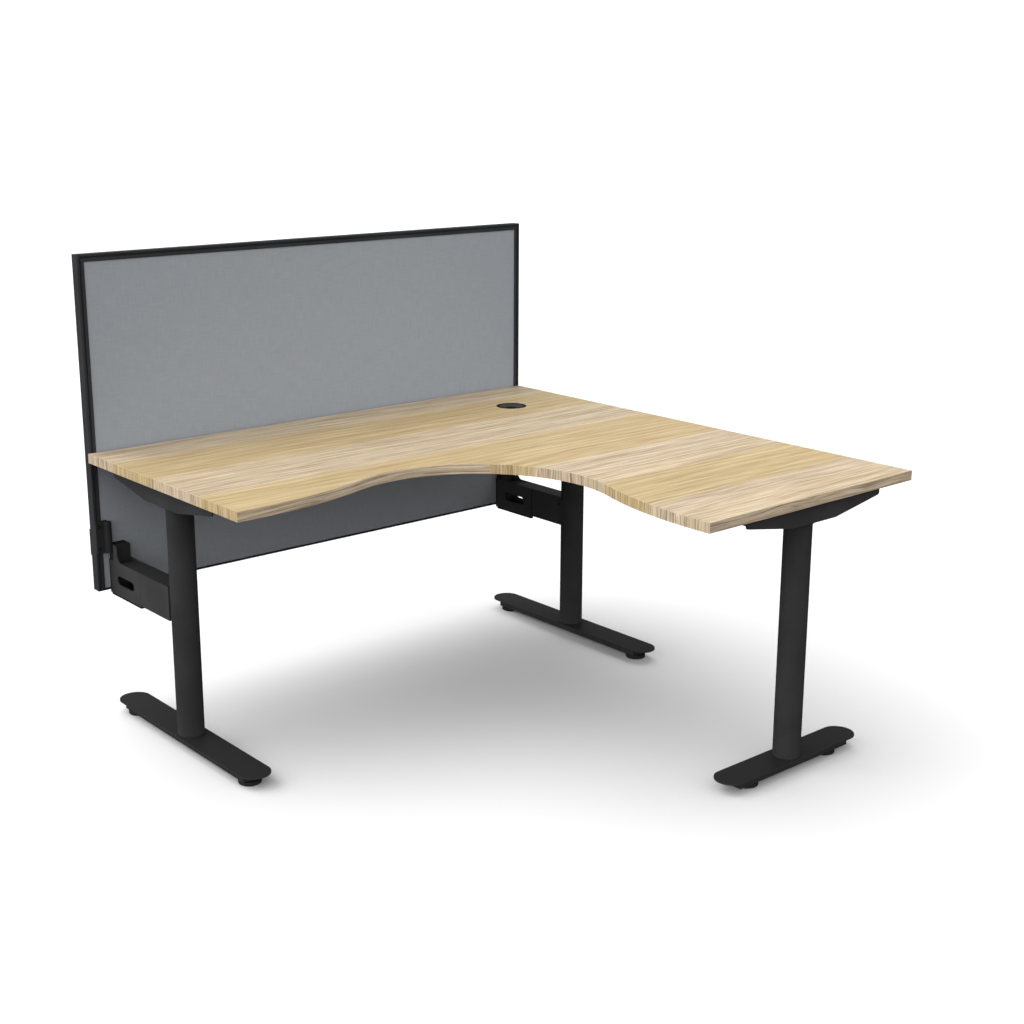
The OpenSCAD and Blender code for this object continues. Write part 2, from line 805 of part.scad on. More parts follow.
// Folded channel on a column: sides that run past the end walls, lips under the
// worktop, tapered underside with holes to reach the worktop screws. Two rails are
// bolted to its +X side at a given distance from the column.
module support_arm(off) {
    color([0.14, 0.14, 0.15]) difference() {
        along_x(-arm_w / 2, arm_w) arm_profile(0);
        difference() {
            arm_hollow();
            for (side = [0, 1]) mirror([side, 0, 0])
                translate([arm_w / 2 - arm_lip, -arm_l / 2, top_under - arm_t])
                    cube([arm_lip, arm_l, arm_t]);
        }
        at_worktop_screws() translate([0, 0, top_under - arm_t - over])
            cylinder(r = screw_r + gap, h = arm_t + 2 * over, $fn = small_fn);
        at_worktop_screws() translate([0, 0, arm_z])
            cylinder(r = screw_access_r, h = arm_h / 2, $fn = small_fn);
        at_column_bolts() translate([0, 0, arm_z - over])
            cylinder(r = bolt_r + gap, h = arm_t + 2 * over, $fn = small_fn);
        for (y = [-1, 1], b = [-1, 1])
            along_x(arm_w / 2 - arm_t - over, arm_t + 2 * over)
                translate([y * off + b * rail_bolt_off, plate_z + plate_h / 2])
                    circle(r = rail_bolt_r + gap, $fn = small_fn);
    }
}

module support_arm_left() {
    in_frame() translate(left_leg) support_arm(rail_off);
}

module support_arm_corner() {
    in_frame() translate(corner_leg) mirror([1, 0, 0]) support_arm(rail_off);
}

module support_arm_end() {
    in_frame() translate(end_leg) rotate(90) support_arm(side_rail_off);
}

// Rectangular tube along X with a bolted plate closing each end.
module plated_rail(length) {
    difference() {
        union() {
            translate([0, -rail_w / 2, rail_z]) cube([length, rail_w, rail_h]);
            for (x = [0, length - plate_t])
                translate([x, -plate_w / 2, plate_z]) cube([plate_t, plate_w, plate_h]);
        }
        translate([plate_t, rail_wall - rail_w / 2, rail_z + rail_wall])
            cube([length - 2 * plate_t, rail_w - 2 * rail_wall, rail_h - 2 * rail_wall]);
        along_x(-over, length + 2 * over) for (b = [-1, 1])
            translate([b * rail_bolt_off, plate_z + plate_h / 2])
                circle(r = rail_bolt_r + gap, $fn = small_fn);
    }
}

module back_rail() {
    color([0.14, 0.14, 0.15]) in_frame() translate([rail_x0, back_rail_y, 0])
        plated_rail(top_w - 2 * rail_x0);
}

// The front rail also takes the bolts of the two side rails.
module front_rail() {
    color([0.14, 0.14, 0.15]) in_frame() difference() {
        translate([rail_x0, front_rail_y, 0]) plated_rail(top_w - 2 * rail_x0);
        for (x = [-1, 1], b = [-1, 1])
            along_y(side_y1 - over, rail_wall + 2 * over)
                translate([end_leg.x + x * side_rail_off + b * rail_bolt_off, plate_z + plate_h / 2])
                    circle(r = rail_bolt_r + gap, $fn = small_fn);
    }
}

module side_rail_outer() {
    color([0.14, 0.14, 0.15]) in_frame() translate([end_leg.x + side_rail_off, side_y0, 0])
        rotate(90) plated_rail(side_y1 - side_y0);
}

module side_rail_inner() {
    color([0.14, 0.14, 0.15]) in_frame() translate([end_leg.x - side_rail_off, side_y0, 0])
        rotate(90) plated_rail(side_y1 - side_y0);
}

// Bolt through a rail's plate and a second wall, with its nut; it points along Z.
module rail_bolt(grip) {
    screw_up(rail_bolt_r, grip, rail_head_r, rail_head_h);
    translate([0, 0, grip]) cylinder(r = rail_head_r, h = rail_head_h, $fn = 6);
}

// Bolts of all the rails.
module rail_bolts() {
    bolt_z = plate_z + plate_h / 2;
    color([0.3, 0.3, 0.32]) in_frame() {
        for (y = [back_rail_y, front_rail_y], b = [-1, 1]) {
            translate([rail_x0 + plate_t, y + b * rail_bolt_off, bolt_z])
                rotate([0, -90, 0]) rail_bolt(plate_t + arm_t);
            translate([top_w - rail_x0 - plate_t, y + b * rail_bolt_off, bolt_z])
                rotate([0, 90, 0]) rail_bolt(plate_t + arm_t);
        }
        for (x = [-1, 1], b = [-1, 1]) {
            translate([end_leg.x + x * side_rail_off + b * rail_bolt_off, side_y0 + plate_t, bolt_z])
                rotate([90, 0, 0]) rail_bolt(plate_t + arm_t);
            translate([end_leg.x + x * side_rail_off + b * rail_bolt_off, side_y1 - plate_t, bolt_z])
                rotate([-90, 0, 0]) rail_bolt(plate_t + rail_wall);
        }
    }
}

// Section of the screen's frame: X from its outer edge inwards, Y from its front.
module frame_section() {
    chamber_y = (screen_t - chamber_t) / 2;
    channel_y = (screen_t - channel_w) / 2;
    difference() {
        square([frame_w, screen_t]);
        for (back = [0, 1]) translate([0, back * screen_t]) mirror([0, back]) {
            translate([groove_c - groove_w / 2, -over]) square([groove_w, groove_lip + over + gap]);
            translate([groove_c - groove_in_w / 2, groove_lip]) square([groove_in_w, groove_d]);
        }
        translate([chamber_wall, chamber_y]) square([chamber_w, chamber_t]);
        translate([channel_in, channel_y]) square([frame_w - channel_in + over, channel_w]);
    }
}

// Left post of the screen, cut at 45 degrees at its top.
module screen_post() {
    post_z = screen_z + foot_cap_t;
    top = screen_z + screen_h;
    intersection() {
        translate([0, screen_gap, post_z]) linear_extrude(top - post_z) frame_section();
        along_y(screen_gap - over, screen_t + 2 * over) polygon([
            [0, post_z],
            [0, top],
            [frame_w, top - frame_w],
            [frame_w, post_z]
        ]);
    }
}

module screen_post_left() {
    color([0.13, 0.13, 0.14]) in_frame() translate([screen_x, 0, 0]) screen_post();
}

module screen_post_right() {
    color([0.13, 0.13, 0.14]) in_frame() translate([screen_x + screen_w, 0, 0])
        mirror([1, 0, 0]) screen_post();
}

// Top rail of the screen, cut at 45 degrees at both ends.
module screen_top_rail() {
    top = screen_z + screen_h;
    color([0.13, 0.13, 0.14]) in_frame() translate([screen_x, 0, 0]) intersection() {
        translate([0, screen_gap, top]) rotate([0, 90, 0])
            linear_extrude(screen_w) frame_section();
        along_y(screen_gap - over, screen_t + 2 * over) polygon([
            [0, top],
            [screen_w, top],
            [screen_w - frame_w, top - frame_w],
            [frame_w, top - frame_w]
        ]);
    }
}

// Shallow channel under the panel, between the posts.
module screen_bottom_rail() {
    color([0.13, 0.13, 0.14]) in_frame() difference() {
        translate([screen_x + frame_w, screen_gap, screen_z])
            cube([screen_w - 2 * frame_w, screen_t, sill_h]);
        translate([screen_x, screen_gap + (screen_t - channel_w) / 2, screen_z + sill_t])
            cube([screen_w, channel_w, sill_h]);
    }
}

// One layer of the screen's panel.
module panel_layer(y, thickness) {
    translate([screen_x + panel_in, y, panel_z0])
        cube([screen_w - 2 * panel_in, thickness, panel_z1 - panel_z0]);
}

module screen_core() {
    color([0.72, 0.66, 0.56]) in_frame() panel_layer(panel_y + fabric_t, core_t);
}

module screen_fabric_front() {
    color([0.52, 0.54, 0.56]) in_frame() panel_layer(panel_y, fabric_t);
}

module screen_fabric_back() {
    color([0.52, 0.54, 0.56]) in_frame() panel_layer(panel_y + fabric_t + core_t, fabric_t);
}

// Angle inside the left upper corner of the frame.
module corner_key() {
    width = chamber_w - 2 * gap;
    depth = chamber_t - 2 * gap;
    edge = chamber_wall + gap;
    y = screen_gap + (screen_t - depth) / 2;
    top = screen_z + screen_h - edge;
    translate([edge, y, top - key_l]) cube([width, depth, key_l]);
    translate([edge, y, top - width]) cube([key_l, depth, width]);
}

module screen_corner_keys() {
    color([0.45, 0.45, 0.46]) in_frame() {
        translate([screen_x, 0, 0]) corner_key();
        translate([screen_x + screen_w, 0, 0]) mirror([1, 0, 0]) corner_key();
    }
}

// Plastic cap under the left post, with a plug in the post's chamber.
module post_cap() {
    width = chamber_w - 2 * gap;
    depth = chamber_t - 2 * gap;
    translate([0, screen_gap, screen_z]) cube([frame_w, screen_t, foot_cap_t]);
    translate([chamber_wall + gap, screen_gap + (screen_t - depth) / 2, screen_z])
        cube([width, depth, foot_cap_t + foot_cap_plug]);
}

module screen_post_caps() {
    color([0.06, 0.06, 0.065]) in_frame() {
        translate([screen_x, 0, 0]) post_cap();
        translate([screen_x + screen_w, 0, 0]) mirror([1, 0, 0]) post_cap();
    }
}

// Hollow beam from the left column to inside the sleeve. Its end is cut to the
// column, and its free end has an open slot in each side wall.
module beam() {
    length = leg_back - beam_end;
    round_y = beam_slot_w / 2 - beam_slot_to;
    color([0.13, 0.13, 0.14]) difference() {
        translate([beam_x, -leg_back, beam_z]) cube([beam_w, length, beam_h]);
        translate([beam_x + beam_wall, -leg_back - over, beam_z + beam_wall])
            cube([beam_w - 2 * beam_wall, length + 2 * over, beam_h - 2 * beam_wall]);
        translate([leg_in, -leg_back, 0])
            cylinder(r = saddle_r, h = beam_z + beam_h + over, $fn = 96);
        along_x(beam_x - over, beam_w + 2 * over) {
            translate([round_y, side_slot_mid]) circle(r = beam_slot_w / 2, $fn = mid_fn);
            translate([round_y, side_slot_mid - beam_slot_w / 2])
                square([-beam_end - round_y + over, beam_slot_w]);
        }
        along_x(beam_x + beam_w / 2, beam_w)
            translate([lug_screw - leg_back, lug_screw_z])
                circle(r = small_r + gap, $fn = small_fn);
    }
}

// Angle welded on the beam between the sleeve and the column: its two flanges lie
// flush with the sleeve's top and outer side.
module beam_cover() {
    low = sleeve_z + sleeve_wall;
    length = cover_to - sleeve_end - cover_gap;
    color([0.13, 0.13, 0.14]) difference() {
        translate([arm_x, -cover_to, low]) cube([sleeve_w, length, sleeve_h - sleeve_wall]);
        translate([beam_x, -cover_to - over, low - over])
            cube([sleeve_w, length + 2 * over, beam_z + beam_h - low + over]);
        translate([leg_in, -leg_back, low]) cylinder(r = saddle_r, h = sleeve_h, $fn = 96);
    }
}

// The screw through the beam's inner side into the column's lug.
module beam_screw() {
    color([0.3, 0.3, 0.32]) translate([beam_x + beam_w, lug_screw - leg_back, lug_screw_z])
        rotate([0, -90, 0]) screw_up(small_r, beam_wall + gap + lug_t, small_head_r, small_head_h);
}

// Tab that stands up from the sleeve's outer wall, with its hollow curve.
module tab_outline() {
    edge = sleeve_z + sleeve_h;
    front = root_front - tab_w;
    top = sleeve_z + root_h;
    difference() {
        translate([front - tab_fillet, edge - over]) square([tab_fillet + over, tab_fillet + over]);
        translate([front - tab_fillet, edge + tab_fillet]) circle(r = tab_fillet, $fn = mid_fn);
    }
    translate([front, edge - over]) square([tab_w, top - tab_corner - edge + over]);
    translate([front + tab_corner, edge]) square([tab_w - tab_corner, top - edge]);
    translate([front + tab_corner, top - tab_corner]) circle(r = tab_corner, $fn = small_fn * 2);
}

// Opening in the sleeve's top, with its curved front end.
module mouth_outline() {
    centre_y = mouth_r - mouth_to;
    intersection() {
        translate([arm_x + sleeve_wall, -mouth_to])
            square([sleeve_w - 2 * sleeve_wall, mouth_to + jaw_front + over]);
        union() {
            translate([arm_x + sleeve_w / 2, centre_y]) circle(r = mouth_r, $fn = 96);
            translate([arm_x, centre_y]) square([sleeve_w, mouth_to + over]);
        }
    }
}

// Sleeve that slides on the beam: slots in both sides, an open mouth on top
// and a tab beside the clamp's root block.
module sleeve() {
    length = sleeve_end + jaw_front;
    slot_r = side_slot_w / 2;
    slot_y0 = -side_slot_from - side_slot_l + slot_r;
    slot_y1 = -side_slot_from - slot_r;
    color([0.13, 0.13, 0.14]) difference() {
        union() {
            translate([arm_x, -sleeve_end, sleeve_z]) cube([sleeve_w, length, sleeve_h]);
            along_x(arm_x, sleeve_wall) tab_outline();
        }
        translate([arm_x + sleeve_wall, -sleeve_end - over, sleeve_z + sleeve_wall])
            cube([sleeve_w - 2 * sleeve_wall, length + 2 * over, sleeve_h - 2 * sleeve_wall]);
        translate([0, 0, sleeve_z + sleeve_h - sleeve_wall - over])
            linear_extrude(sleeve_wall + 2 * over) mouth_outline();
        along_x(arm_x - over, sleeve_w + 2 * over) {
            translate([slot_y0, side_slot_mid]) circle(r = slot_r, $fn = mid_fn);
            translate([slot_y1, side_slot_mid]) circle(r = slot_r, $fn = mid_fn);
            translate([slot_y0, side_slot_mid - slot_r]) square([slot_y1 - slot_y0, 2 * slot_r]);
        }
        at_sleeve_screws() translate([0, 0, sleeve_z - over])
            cylinder(r = small_r + gap, h = sleeve_wall + 2 * over, $fn = small_fn);
    }
}

// The two screws under the sleeve: one into the root block, one against the beam.
module at_sleeve_screws() {
    for (y = [root_screw_y, pinch_in - sleeve_end])
        translate([arm_x + sleeve_w / 2, y, 0]) children();
}

module sleeve_screws() {
    color([0.3, 0.3, 0.32]) {
        at_sleeve_screws() translate([0, 0, sleeve_z])
            screw_up(small_r, sleeve_wall + slide_gap - gap, small_head_r, small_head_h);
        translate([arm_x + sleeve_w / 2, root_screw_y, sleeve_z])
            cylinder(r = small_r, h = sleeve_wall + root_screw_l, $fn = small_fn);
    }
}

// Casting that joins the sleeve to the post: a jaw on the post's face, a round
// boss with a rounded top, a block inside the sleeve and a plate behind it.
module clamp(edge) {
    root_x = arm_x + sleeve_wall + gap;
    root_w = sleeve_w - 2 * sleeve_wall - 2 * gap;
    root_z = sleeve_z + sleeve_wall;
    root_top = sleeve_z + root_h;
    boss_x = arm_x - boss_out;
    jaw_low = sleeve_z + jaw_z;
    color([0.16, 0.16, 0.17]) difference() {
        union() {
            translate([edge, jaw_front, jaw_low]) cube([boss_x - edge, jaw_t, jaw_h]);
            translate([boss_x, screen_gap - boss_r, jaw_low]) {
                rotate_extrude($fn = mid_fn) {
                    square([boss_r, boss_h - boss_round]);
                    square([boss_r - boss_round, boss_h]);
                    translate([boss_r - boss_round, boss_h - boss_round])
                        intersection() {
                            circle(r = boss_round, $fn = mid_fn);
                            square(boss_round);
                        }
                }
            }
            along_y(root_front, root_d) {
                translate([root_x, root_z]) square([root_w, root_top - tab_corner - root_z]);
                translate([root_x, root_z]) square([root_w - tab_corner, root_top - root_z]);
                translate([root_x + root_w - tab_corner, root_top - tab_corner])
                    circle(r = tab_corner, $fn = small_fn * 2);
            }
            translate([arm_x, jaw_front, sleeve_z]) cube([sleeve_w, jaw_t, sleeve_h]);
        }
        for (z = [jaw_low + jaw_screw_in, jaw_low + jaw_h - jaw_screw_in])
            along_y(jaw_front - over, jaw_t + 2 * over)
                translate([edge + groove_c, z]) circle(r = clamp_screw_r + gap, $fn = small_fn);
        translate([arm_x + sleeve_w / 2, root_screw_y, root_z - over])
            cylinder(r = small_r + gap, h = root_screw_l + over + gap, $fn = small_fn);
    }
}

// Plate on the back of the post.
module clamp_rear_plate(edge) {
    low = sleeve_z + jaw_z - rear_plate_drop;
    color([0.16, 0.16, 0.17]) difference() {
        translate([edge, screen_back, low]) cube([frame_w, rear_plate_t, rear_plate_h]);
        for (z = [low + rear_screw_in, low + rear_plate_h - rear_screw_in])
            along_y(screen_back - over, rear_plate_t + 2 * over)
                translate([edge + groove_c, z]) circle(r = clamp_screw_r + gap, $fn = small_fn);
    }
}

// Screw into the frame's groove with its groove nut, pointing along Z.
// The origin is on the frame's face.
module groove_screw(plate) {
    nut_w = groove_in_w - 2 * gap;
    nut_t = groove_d - gap;
    translate([0, 0, -plate])
        screw_up(clamp_screw_r, plate + groove_lip + nut_t, clamp_head_r, clamp_head_h);
    translate([-nut_w / 2, -groove_nut_l / 2, groove_lip]) cube([nut_w, groove_nut_l, nut_t]);
}

// The jaw's two screws and the rear plate's two screws.
module clamp_screws(edge) {
    jaw_low = sleeve_z + jaw_z;
    rear_low = jaw_low - rear_plate_drop;
    color([0.3, 0.3, 0.32]) translate([edge + groove_c, 0, 0]) {
        for (z = [jaw_low + jaw_screw_in, jaw_low + jaw_h - jaw_screw_in])
            translate([0, screen_gap, z]) rotate([-90, 0, 0]) groove_screw(jaw_t);
        for (z = [rear_low + rear_screw_in, rear_low + rear_plate_h - rear_screw_in])
            translate([0, screen_back, z]) rotate([90, 0, 0]) groove_screw(rear_plate_t);
    }
}

module beam_left() {
    in_frame() beam();
}

module beam_right() {
    in_frame() other_side() beam();
}

module beam_cover_left() {
    in_frame() beam_cover();
}

module beam_cover_right() {
    in_frame() other_side() beam_cover();
}

module beam_screw_left() {
    in_frame() beam_screw();
}

module beam_screw_right() {
    in_frame() other_side() beam_screw();
}

module sleeve_left() {
    in_frame() sleeve();
}

module sleeve_right() {
    in_frame() other_side() sleeve();
}

module sleeve_screws_left() {
    in_frame() sleeve_screws();
}

module sleeve_screws_right() {
    in_frame() other_side() sleeve_screws();
}

module clamp_left() {
    in_frame() clamp(screen_x);
}

module clamp_right() {
    in_frame() other_side() clamp(screen_right);
}

module clamp_rear_plate_left() {
    in_frame() clamp_rear_plate(screen_x);
}

module clamp_rear_plate_right() {
    in_frame() other_side() clamp_rear_plate(screen_right);
}

module clamp_screws_left() {
    in_frame() clamp_screws(screen_x);
}

module clamp_screws_right() {
    in_frame() other_side() clamp_screws(screen_right);
}

worktop_panel();
edge_band();
worktop_screws();
grommet_liner();
grommet_cap();
grommet_shutter();
column_left();
column_corner();
column_end();
foot_left();
foot_corner();
foot_end();
foot_rail_left();
foot_rail_corner();
foot_rail_end();
leveller_left_front();
leveller_left_rear();
leveller_corner_front();
leveller_corner_rear();
leveller_end_left();
leveller_end_right();
leveller_nuts();
foot_bolts();
arm_bolts();
support_arm_left();
support_arm_corner();
support_arm_end();
back_rail();
front_rail();
side_rail_outer();
side_rail_inner();
rail_bolts();
screen_post_left();
screen_post_right();
screen_top_rail();
screen_bottom_rail();
screen_core();
screen_fabric_front();
screen_fabric_back();
screen_corner_keys();
screen_post_caps();
beam_left();
beam_right();
beam_cover_left();
beam_cover_right();
beam_screw_left();
beam_screw_right();
sleeve_left();
sleeve_right();
sleeve_screws_left();
sleeve_screws_right();
clamp_left();
clamp_right();
clamp_rear_plate_left();
clamp_rear_plate_right();
clamp_screws_left();
clamp_screws_right();
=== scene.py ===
# %% [markdown]
# # Dressing a corner workstation in Blender
# The desk, its legs, its screen and the arms that carry the screen were built as exact solids
# elsewhere. This lesson loads them as a fixed frame and gives each piece the surface that it has
# on the real object: printed wood, powder coat, woven cloth and moulded plastic. The screen's two
# cloths are built here as well, because cloth isn't a block, and so are four thin lips under the
# screen's arms.

# %% Load the fixed frame
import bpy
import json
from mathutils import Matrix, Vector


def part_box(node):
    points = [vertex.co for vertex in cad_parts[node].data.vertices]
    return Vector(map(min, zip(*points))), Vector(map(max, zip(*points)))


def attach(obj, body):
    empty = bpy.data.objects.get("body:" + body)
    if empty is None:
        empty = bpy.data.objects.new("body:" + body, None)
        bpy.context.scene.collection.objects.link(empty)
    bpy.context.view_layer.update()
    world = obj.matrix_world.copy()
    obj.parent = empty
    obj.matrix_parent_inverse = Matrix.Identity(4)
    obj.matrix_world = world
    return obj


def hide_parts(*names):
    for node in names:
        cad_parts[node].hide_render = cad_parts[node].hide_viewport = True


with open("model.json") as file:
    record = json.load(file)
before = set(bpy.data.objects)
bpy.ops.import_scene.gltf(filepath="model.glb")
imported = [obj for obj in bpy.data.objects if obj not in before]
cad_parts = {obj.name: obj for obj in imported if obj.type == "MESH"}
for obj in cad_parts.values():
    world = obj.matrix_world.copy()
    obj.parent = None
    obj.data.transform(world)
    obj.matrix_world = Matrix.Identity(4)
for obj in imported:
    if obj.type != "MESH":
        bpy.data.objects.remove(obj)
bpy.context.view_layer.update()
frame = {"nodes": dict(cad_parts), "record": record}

# %% [markdown]
# ## The camera
# The photograph was taken with a long normal lens from standing height, in front of the desk's
# left wing. The place, the direction and the lens were solved from about forty corners of the
# desk, and its picture centre lies a little beside the middle, which a small shift stands for.

# %% Camera
import math
import bpy

PICTURE_SIDE = 1024  # pixels
SENSOR_MM = 36.0
LENS_PIXELS = 1530.90354
PICTURE_CENTRE = (490.2311, 488.6053)  # pixels
CAMERA_PLACE = (-2.459471, -2.941094, 1.650306)  # metres
CAMERA_TURN, CAMERA_DIP = 0.69933973, 0.25384684  # radians, to the right and down
FARTHEST_SEEN = 200.0  # metres

scene = bpy.context.scene
lens = bpy.data.cameras.new("camera")
lens.sensor_width = SENSOR_MM
lens.lens = LENS_PIXELS / PICTURE_SIDE * SENSOR_MM
lens.shift_x = (PICTURE_SIDE / 2 - PICTURE_CENTRE[0]) / PICTURE_SIDE
lens.shift_y = (PICTURE_CENTRE[1] - PICTURE_SIDE / 2) / PICTURE_SIDE
lens.clip_end = FARTHEST_SEEN
camera = bpy.data.objects.new("camera", lens)
camera.location = CAMERA_PLACE
camera.rotation_euler = (math.pi / 2 - CAMERA_DIP, 0.0, -CAMERA_TURN)
bpy.context.collection.objects.link(camera)
scene.camera = camera
print("lens", round(lens.lens, 2), "mm, shift", round(lens.shift_x, 4), round(lens.shift_y, 4))

# %% [markdown]
# ## Small tools for materials
# A finish is a tree of small nodes. A few short helpers keep the recipes below readable. They add
# a node, feed a number or another node's output into a socket, do arithmetic, ease a value from
# one range into another, mix colours and make noise.

# %% Helpers for node trees
def add_node(tree, kind, **settings):
    """A shader node of this kind, with its properties set."""
    made = tree.nodes.new("ShaderNode" + kind)
    for name, value in settings.items():
        setattr(made, name, value)
    return made


def feed(tree, socket, value):
    """Wires an output into the socket, or sets a plain number or colour on it."""
    if isinstance(value, bpy.types.NodeSocket):
        tree.links.new(value, socket)
    else:
        socket.default_value = value


def calc(tree, operation, *values):
    """Arithmetic on numbers and outputs."""
    made = add_node(tree, "Math", operation=operation)
    for socket, value in zip(made.inputs, values):
        feed(tree, socket, value)
    return made.outputs[0]


def weighed_sum(tree, *pairs):
    """The sum of value times weight over the pairs."""
    total = calc(tree, "MULTIPLY", *pairs[0])
    for value, weight in pairs[1:]:
        total = calc(tree, "MULTIPLY_ADD", value, weight, total)
    return total


def ease(tree, value, low, high, out_low=0.0, out_high=1.0):
    """Turns low..high into out_low..out_high, smoothly and without overshoot."""
    made = add_node(tree, "MapRange", interpolation_type="SMOOTHSTEP")
    sockets = ("Value", "From Min", "From Max", "To Min", "To Max")
    for name, number in zip(sockets, (value, low, high, out_low, out_high)):
        feed(tree, made.inputs[name], number)
    return made.outputs["Result"]


def mix_tones(tree, share, first, second, way="MIX"):
    """Two colours mixed: share 0 gives the first, 1 the second."""
    made = add_node(tree, "Mix", data_type="RGBA", blend_type=way)
    for index, value in ((0, share), (6, first), (7, second)):
        feed(tree, made.inputs[index], value)
    return made.outputs[2]


def speckle(tree, where, per_metre, detail=2.0, roughness=0.5):
    """Noise with about per_metre blotches in a metre, from 0 to 1."""
    made = add_node(tree, "TexNoise")
    values = (("Vector", where), ("Scale", per_metre), ("Detail", detail),
              ("Roughness", roughness))
    for name, value in values:
        feed(tree, made.inputs[name], value)
    return made.outputs["Fac"]


# %% [markdown]
# ## Shared effects
# An effect that several finishes use is a node group: a box with named inputs and outputs that is
# built once. Each group here gives back only colours, masks and heights. The shader itself stays
# in each material.

# %% Helpers for groups
def effect_group(name, takes, gives):
    """A new group, with the sockets that its inside reads from and those that it feeds."""
    group = bpy.data.node_groups.new(name, "ShaderNodeTree")
    for label, kind, start in takes:
        socket = group.interface.new_socket(label, in_out="INPUT",
                                            socket_type="NodeSocket" + kind)
        socket.default_value = start
    for label, kind in gives:
        group.interface.new_socket(label, in_out="OUTPUT", socket_type="NodeSocket" + kind)
    entry = group.nodes.new("NodeGroupInput").outputs
    leave = group.nodes.new("NodeGroupOutput").inputs
    return group, entry, leave


def place_group(tree, group, **values):
    """The group in a material, fed by name; an underscore stands for a space."""
    made = add_node(tree, "Group", node_tree=group)
    for name, value in values.items():
        feed(tree, made.inputs[name.replace("_", " ")], value)
    return made.outputs


# %% [markdown]
# ### Which way the grain runs
# The print on a board runs along the desk on the top. On the edges it comes from two sides: an
# edge that faces the user shows long lines, and an edge that faces sideways shows upright ones.
# The photograph has the jump between the two half-way round the bay, where the edge faces at 45
# degrees. So this group picks, from the direction that the surface faces, how far along and how
# far across the grain each point lies.

# %% Group: grain place
FLAT_LIMIT = 0.7  # a surface whose direction has more Z than this is the top or the underside

grain_place, _, grain_out = effect_group(
    "grain place", [], [("Along", "Float"), ("Across", "Float")])
spot = add_node(grain_place, "SeparateXYZ")
feed(grain_place, spot.inputs[0], add_node(grain_place, "TexCoord").outputs["Object"])
facing = add_node(grain_place, "SeparateXYZ")
feed(grain_place, facing.inputs[0], add_node(grain_place, "NewGeometry").outputs["Normal"])
faces_x, faces_y, faces_z = (calc(grain_place, "ABSOLUTE", part) for part in facing.outputs)
is_flat = calc(grain_place, "GREATER_THAN", faces_z, FLAT_LIMIT)
is_edge = calc(grain_place, "SUBTRACT", 1.0, is_flat)
is_side = calc(grain_place, "MULTIPLY", is_edge,
               calc(grain_place, "GREATER_THAN", faces_x, faces_y))
is_front = calc(grain_place, "SUBTRACT", is_edge, is_side)
not_side = calc(grain_place, "SUBTRACT", 1.0, is_side)
not_front = calc(grain_place, "SUBTRACT", 1.0, is_front)
x_place, y_place, z_place = spot.outputs
feed(grain_place, grain_out["Along"],
     weighed_sum(grain_place, (x_place, not_side), (z_place, is_side)))
feed(grain_place, grain_out["Across"],
     weighed_sum(grain_place, (y_place, not_front), (z_place, is_front)))
print("grain place:", len(grain_place.nodes), "nodes")

# %% [markdown]
# ### Streaks of the wood print
# The print is made of streaks of several sizes, all of them noise stretched along the grain. A
# slow wave bends them, as in a plank that was cut near a knot. Each row of the table below is one
# kind of streak. Contrast and line size are inputs, because the edging shows the same wood with
# coarser and stronger lines than the board.

# %% Group: wood print, its streaks
STREAK_ROUGHNESS = 0.6
BEND = 0.05  # metres that the slow wave pushes a streak sideways
SLOW_WAVE = (1.6, 5.0, 2.0, 0.0)  # a row like those of the table
STREAKS = {  # how many in a metre along the grain and across it, detail, start of the noise
    "broad": (1.6, 28.0, 3.0, 3.1),
    "lines": (3.2, 110.0, 5.0, 7.7),
    "thin lines": (6.0, 330.0, 3.0, 2.9),
    "hairs": (14.0, 900.0, 2.0, 1.3),
    "pores": (40.0, 1500.0, 1.0, 9.9),
    "knotted": (7.0, 60.0, 4.0, 8.3),
    "light lines": (1.4, 130.0, 2.0, 6.2)}

wood_print, wood_in, wood_out = effect_group(
    "wood print",
    [("Along", "Float", 0.0), ("Across", "Float", 0.0), ("Line Size", "Float", 1.0),
     ("Contrast", "Float", 1.0), ("Dark Lines", "Float", 0.0)],
    [("Color", "Color"), ("Relief", "Float"), ("Gloss", "Float")])


def streaks(across, along_per_metre, across_per_metre, detail, start):
    """Noise stretched along the grain, from 0 to 1."""
    place = add_node(wood_print, "CombineXYZ")
    feed(wood_print, place.inputs[0],
         calc(wood_print, "MULTIPLY_ADD", wood_in["Along"], along_per_metre, start))
    sized = calc(wood_print, "DIVIDE", across, wood_in["Line Size"])
    feed(wood_print, place.inputs[1], calc(wood_print, "MULTIPLY", sized, across_per_metre))
    return speckle(wood_print, place.outputs[0], 1.0, detail, STREAK_ROUGHNESS)


wave = streaks(wood_in["Across"], *SLOW_WAVE)
bent = calc(wood_print, "MULTIPLY_ADD", wave, BEND, wood_in["Across"])
streak = {name: streaks(bent, *numbers) for name, numbers in STREAKS.items()}
print("kinds of streaks:", ", ".join(streak))

# %% [markdown]
# ### Planks of two tones
# The decor looks like planks laid beside each other: golden ones and cooler, pinkish ones, 200 to
# 300 mm wide, some of them ashen along one side. Their sides are tables of places across the desk,
# and a slow drift keeps them from being ruled straight. Golden planks also carry long arches.

# %% Group: wood print, its planks
TOP_LOW, TOP_HIGH = -0.77, 0.77  # the Y range that the tables below cover, in metres
# The Y of the two sides of each plank and of each ashen strip.
GOLDEN_PLANKS = ((0.377, 0.585), (-0.133, 0.155), (-0.573, -0.365))
ASHEN_STRIPS = ((0.640, 0.731), (0.175, 0.262), (-0.262, -0.150), (-0.665, -0.590))
GOLDEN_SOFT, ASHEN_SOFT = 0.006, 0.014
SIDE_DRIFT, ARCH_DRIFT = (2.5, 3.0, 2.0, 5.5), (0.9, 7.0, 4.0, 4.4)  # rows as for streaks
SIDE_DRIFT_FAR = 0.016  # metres
ARCHES_PER_METRE, ARCH_DRIFT_TURNS = 30.0, 4.0


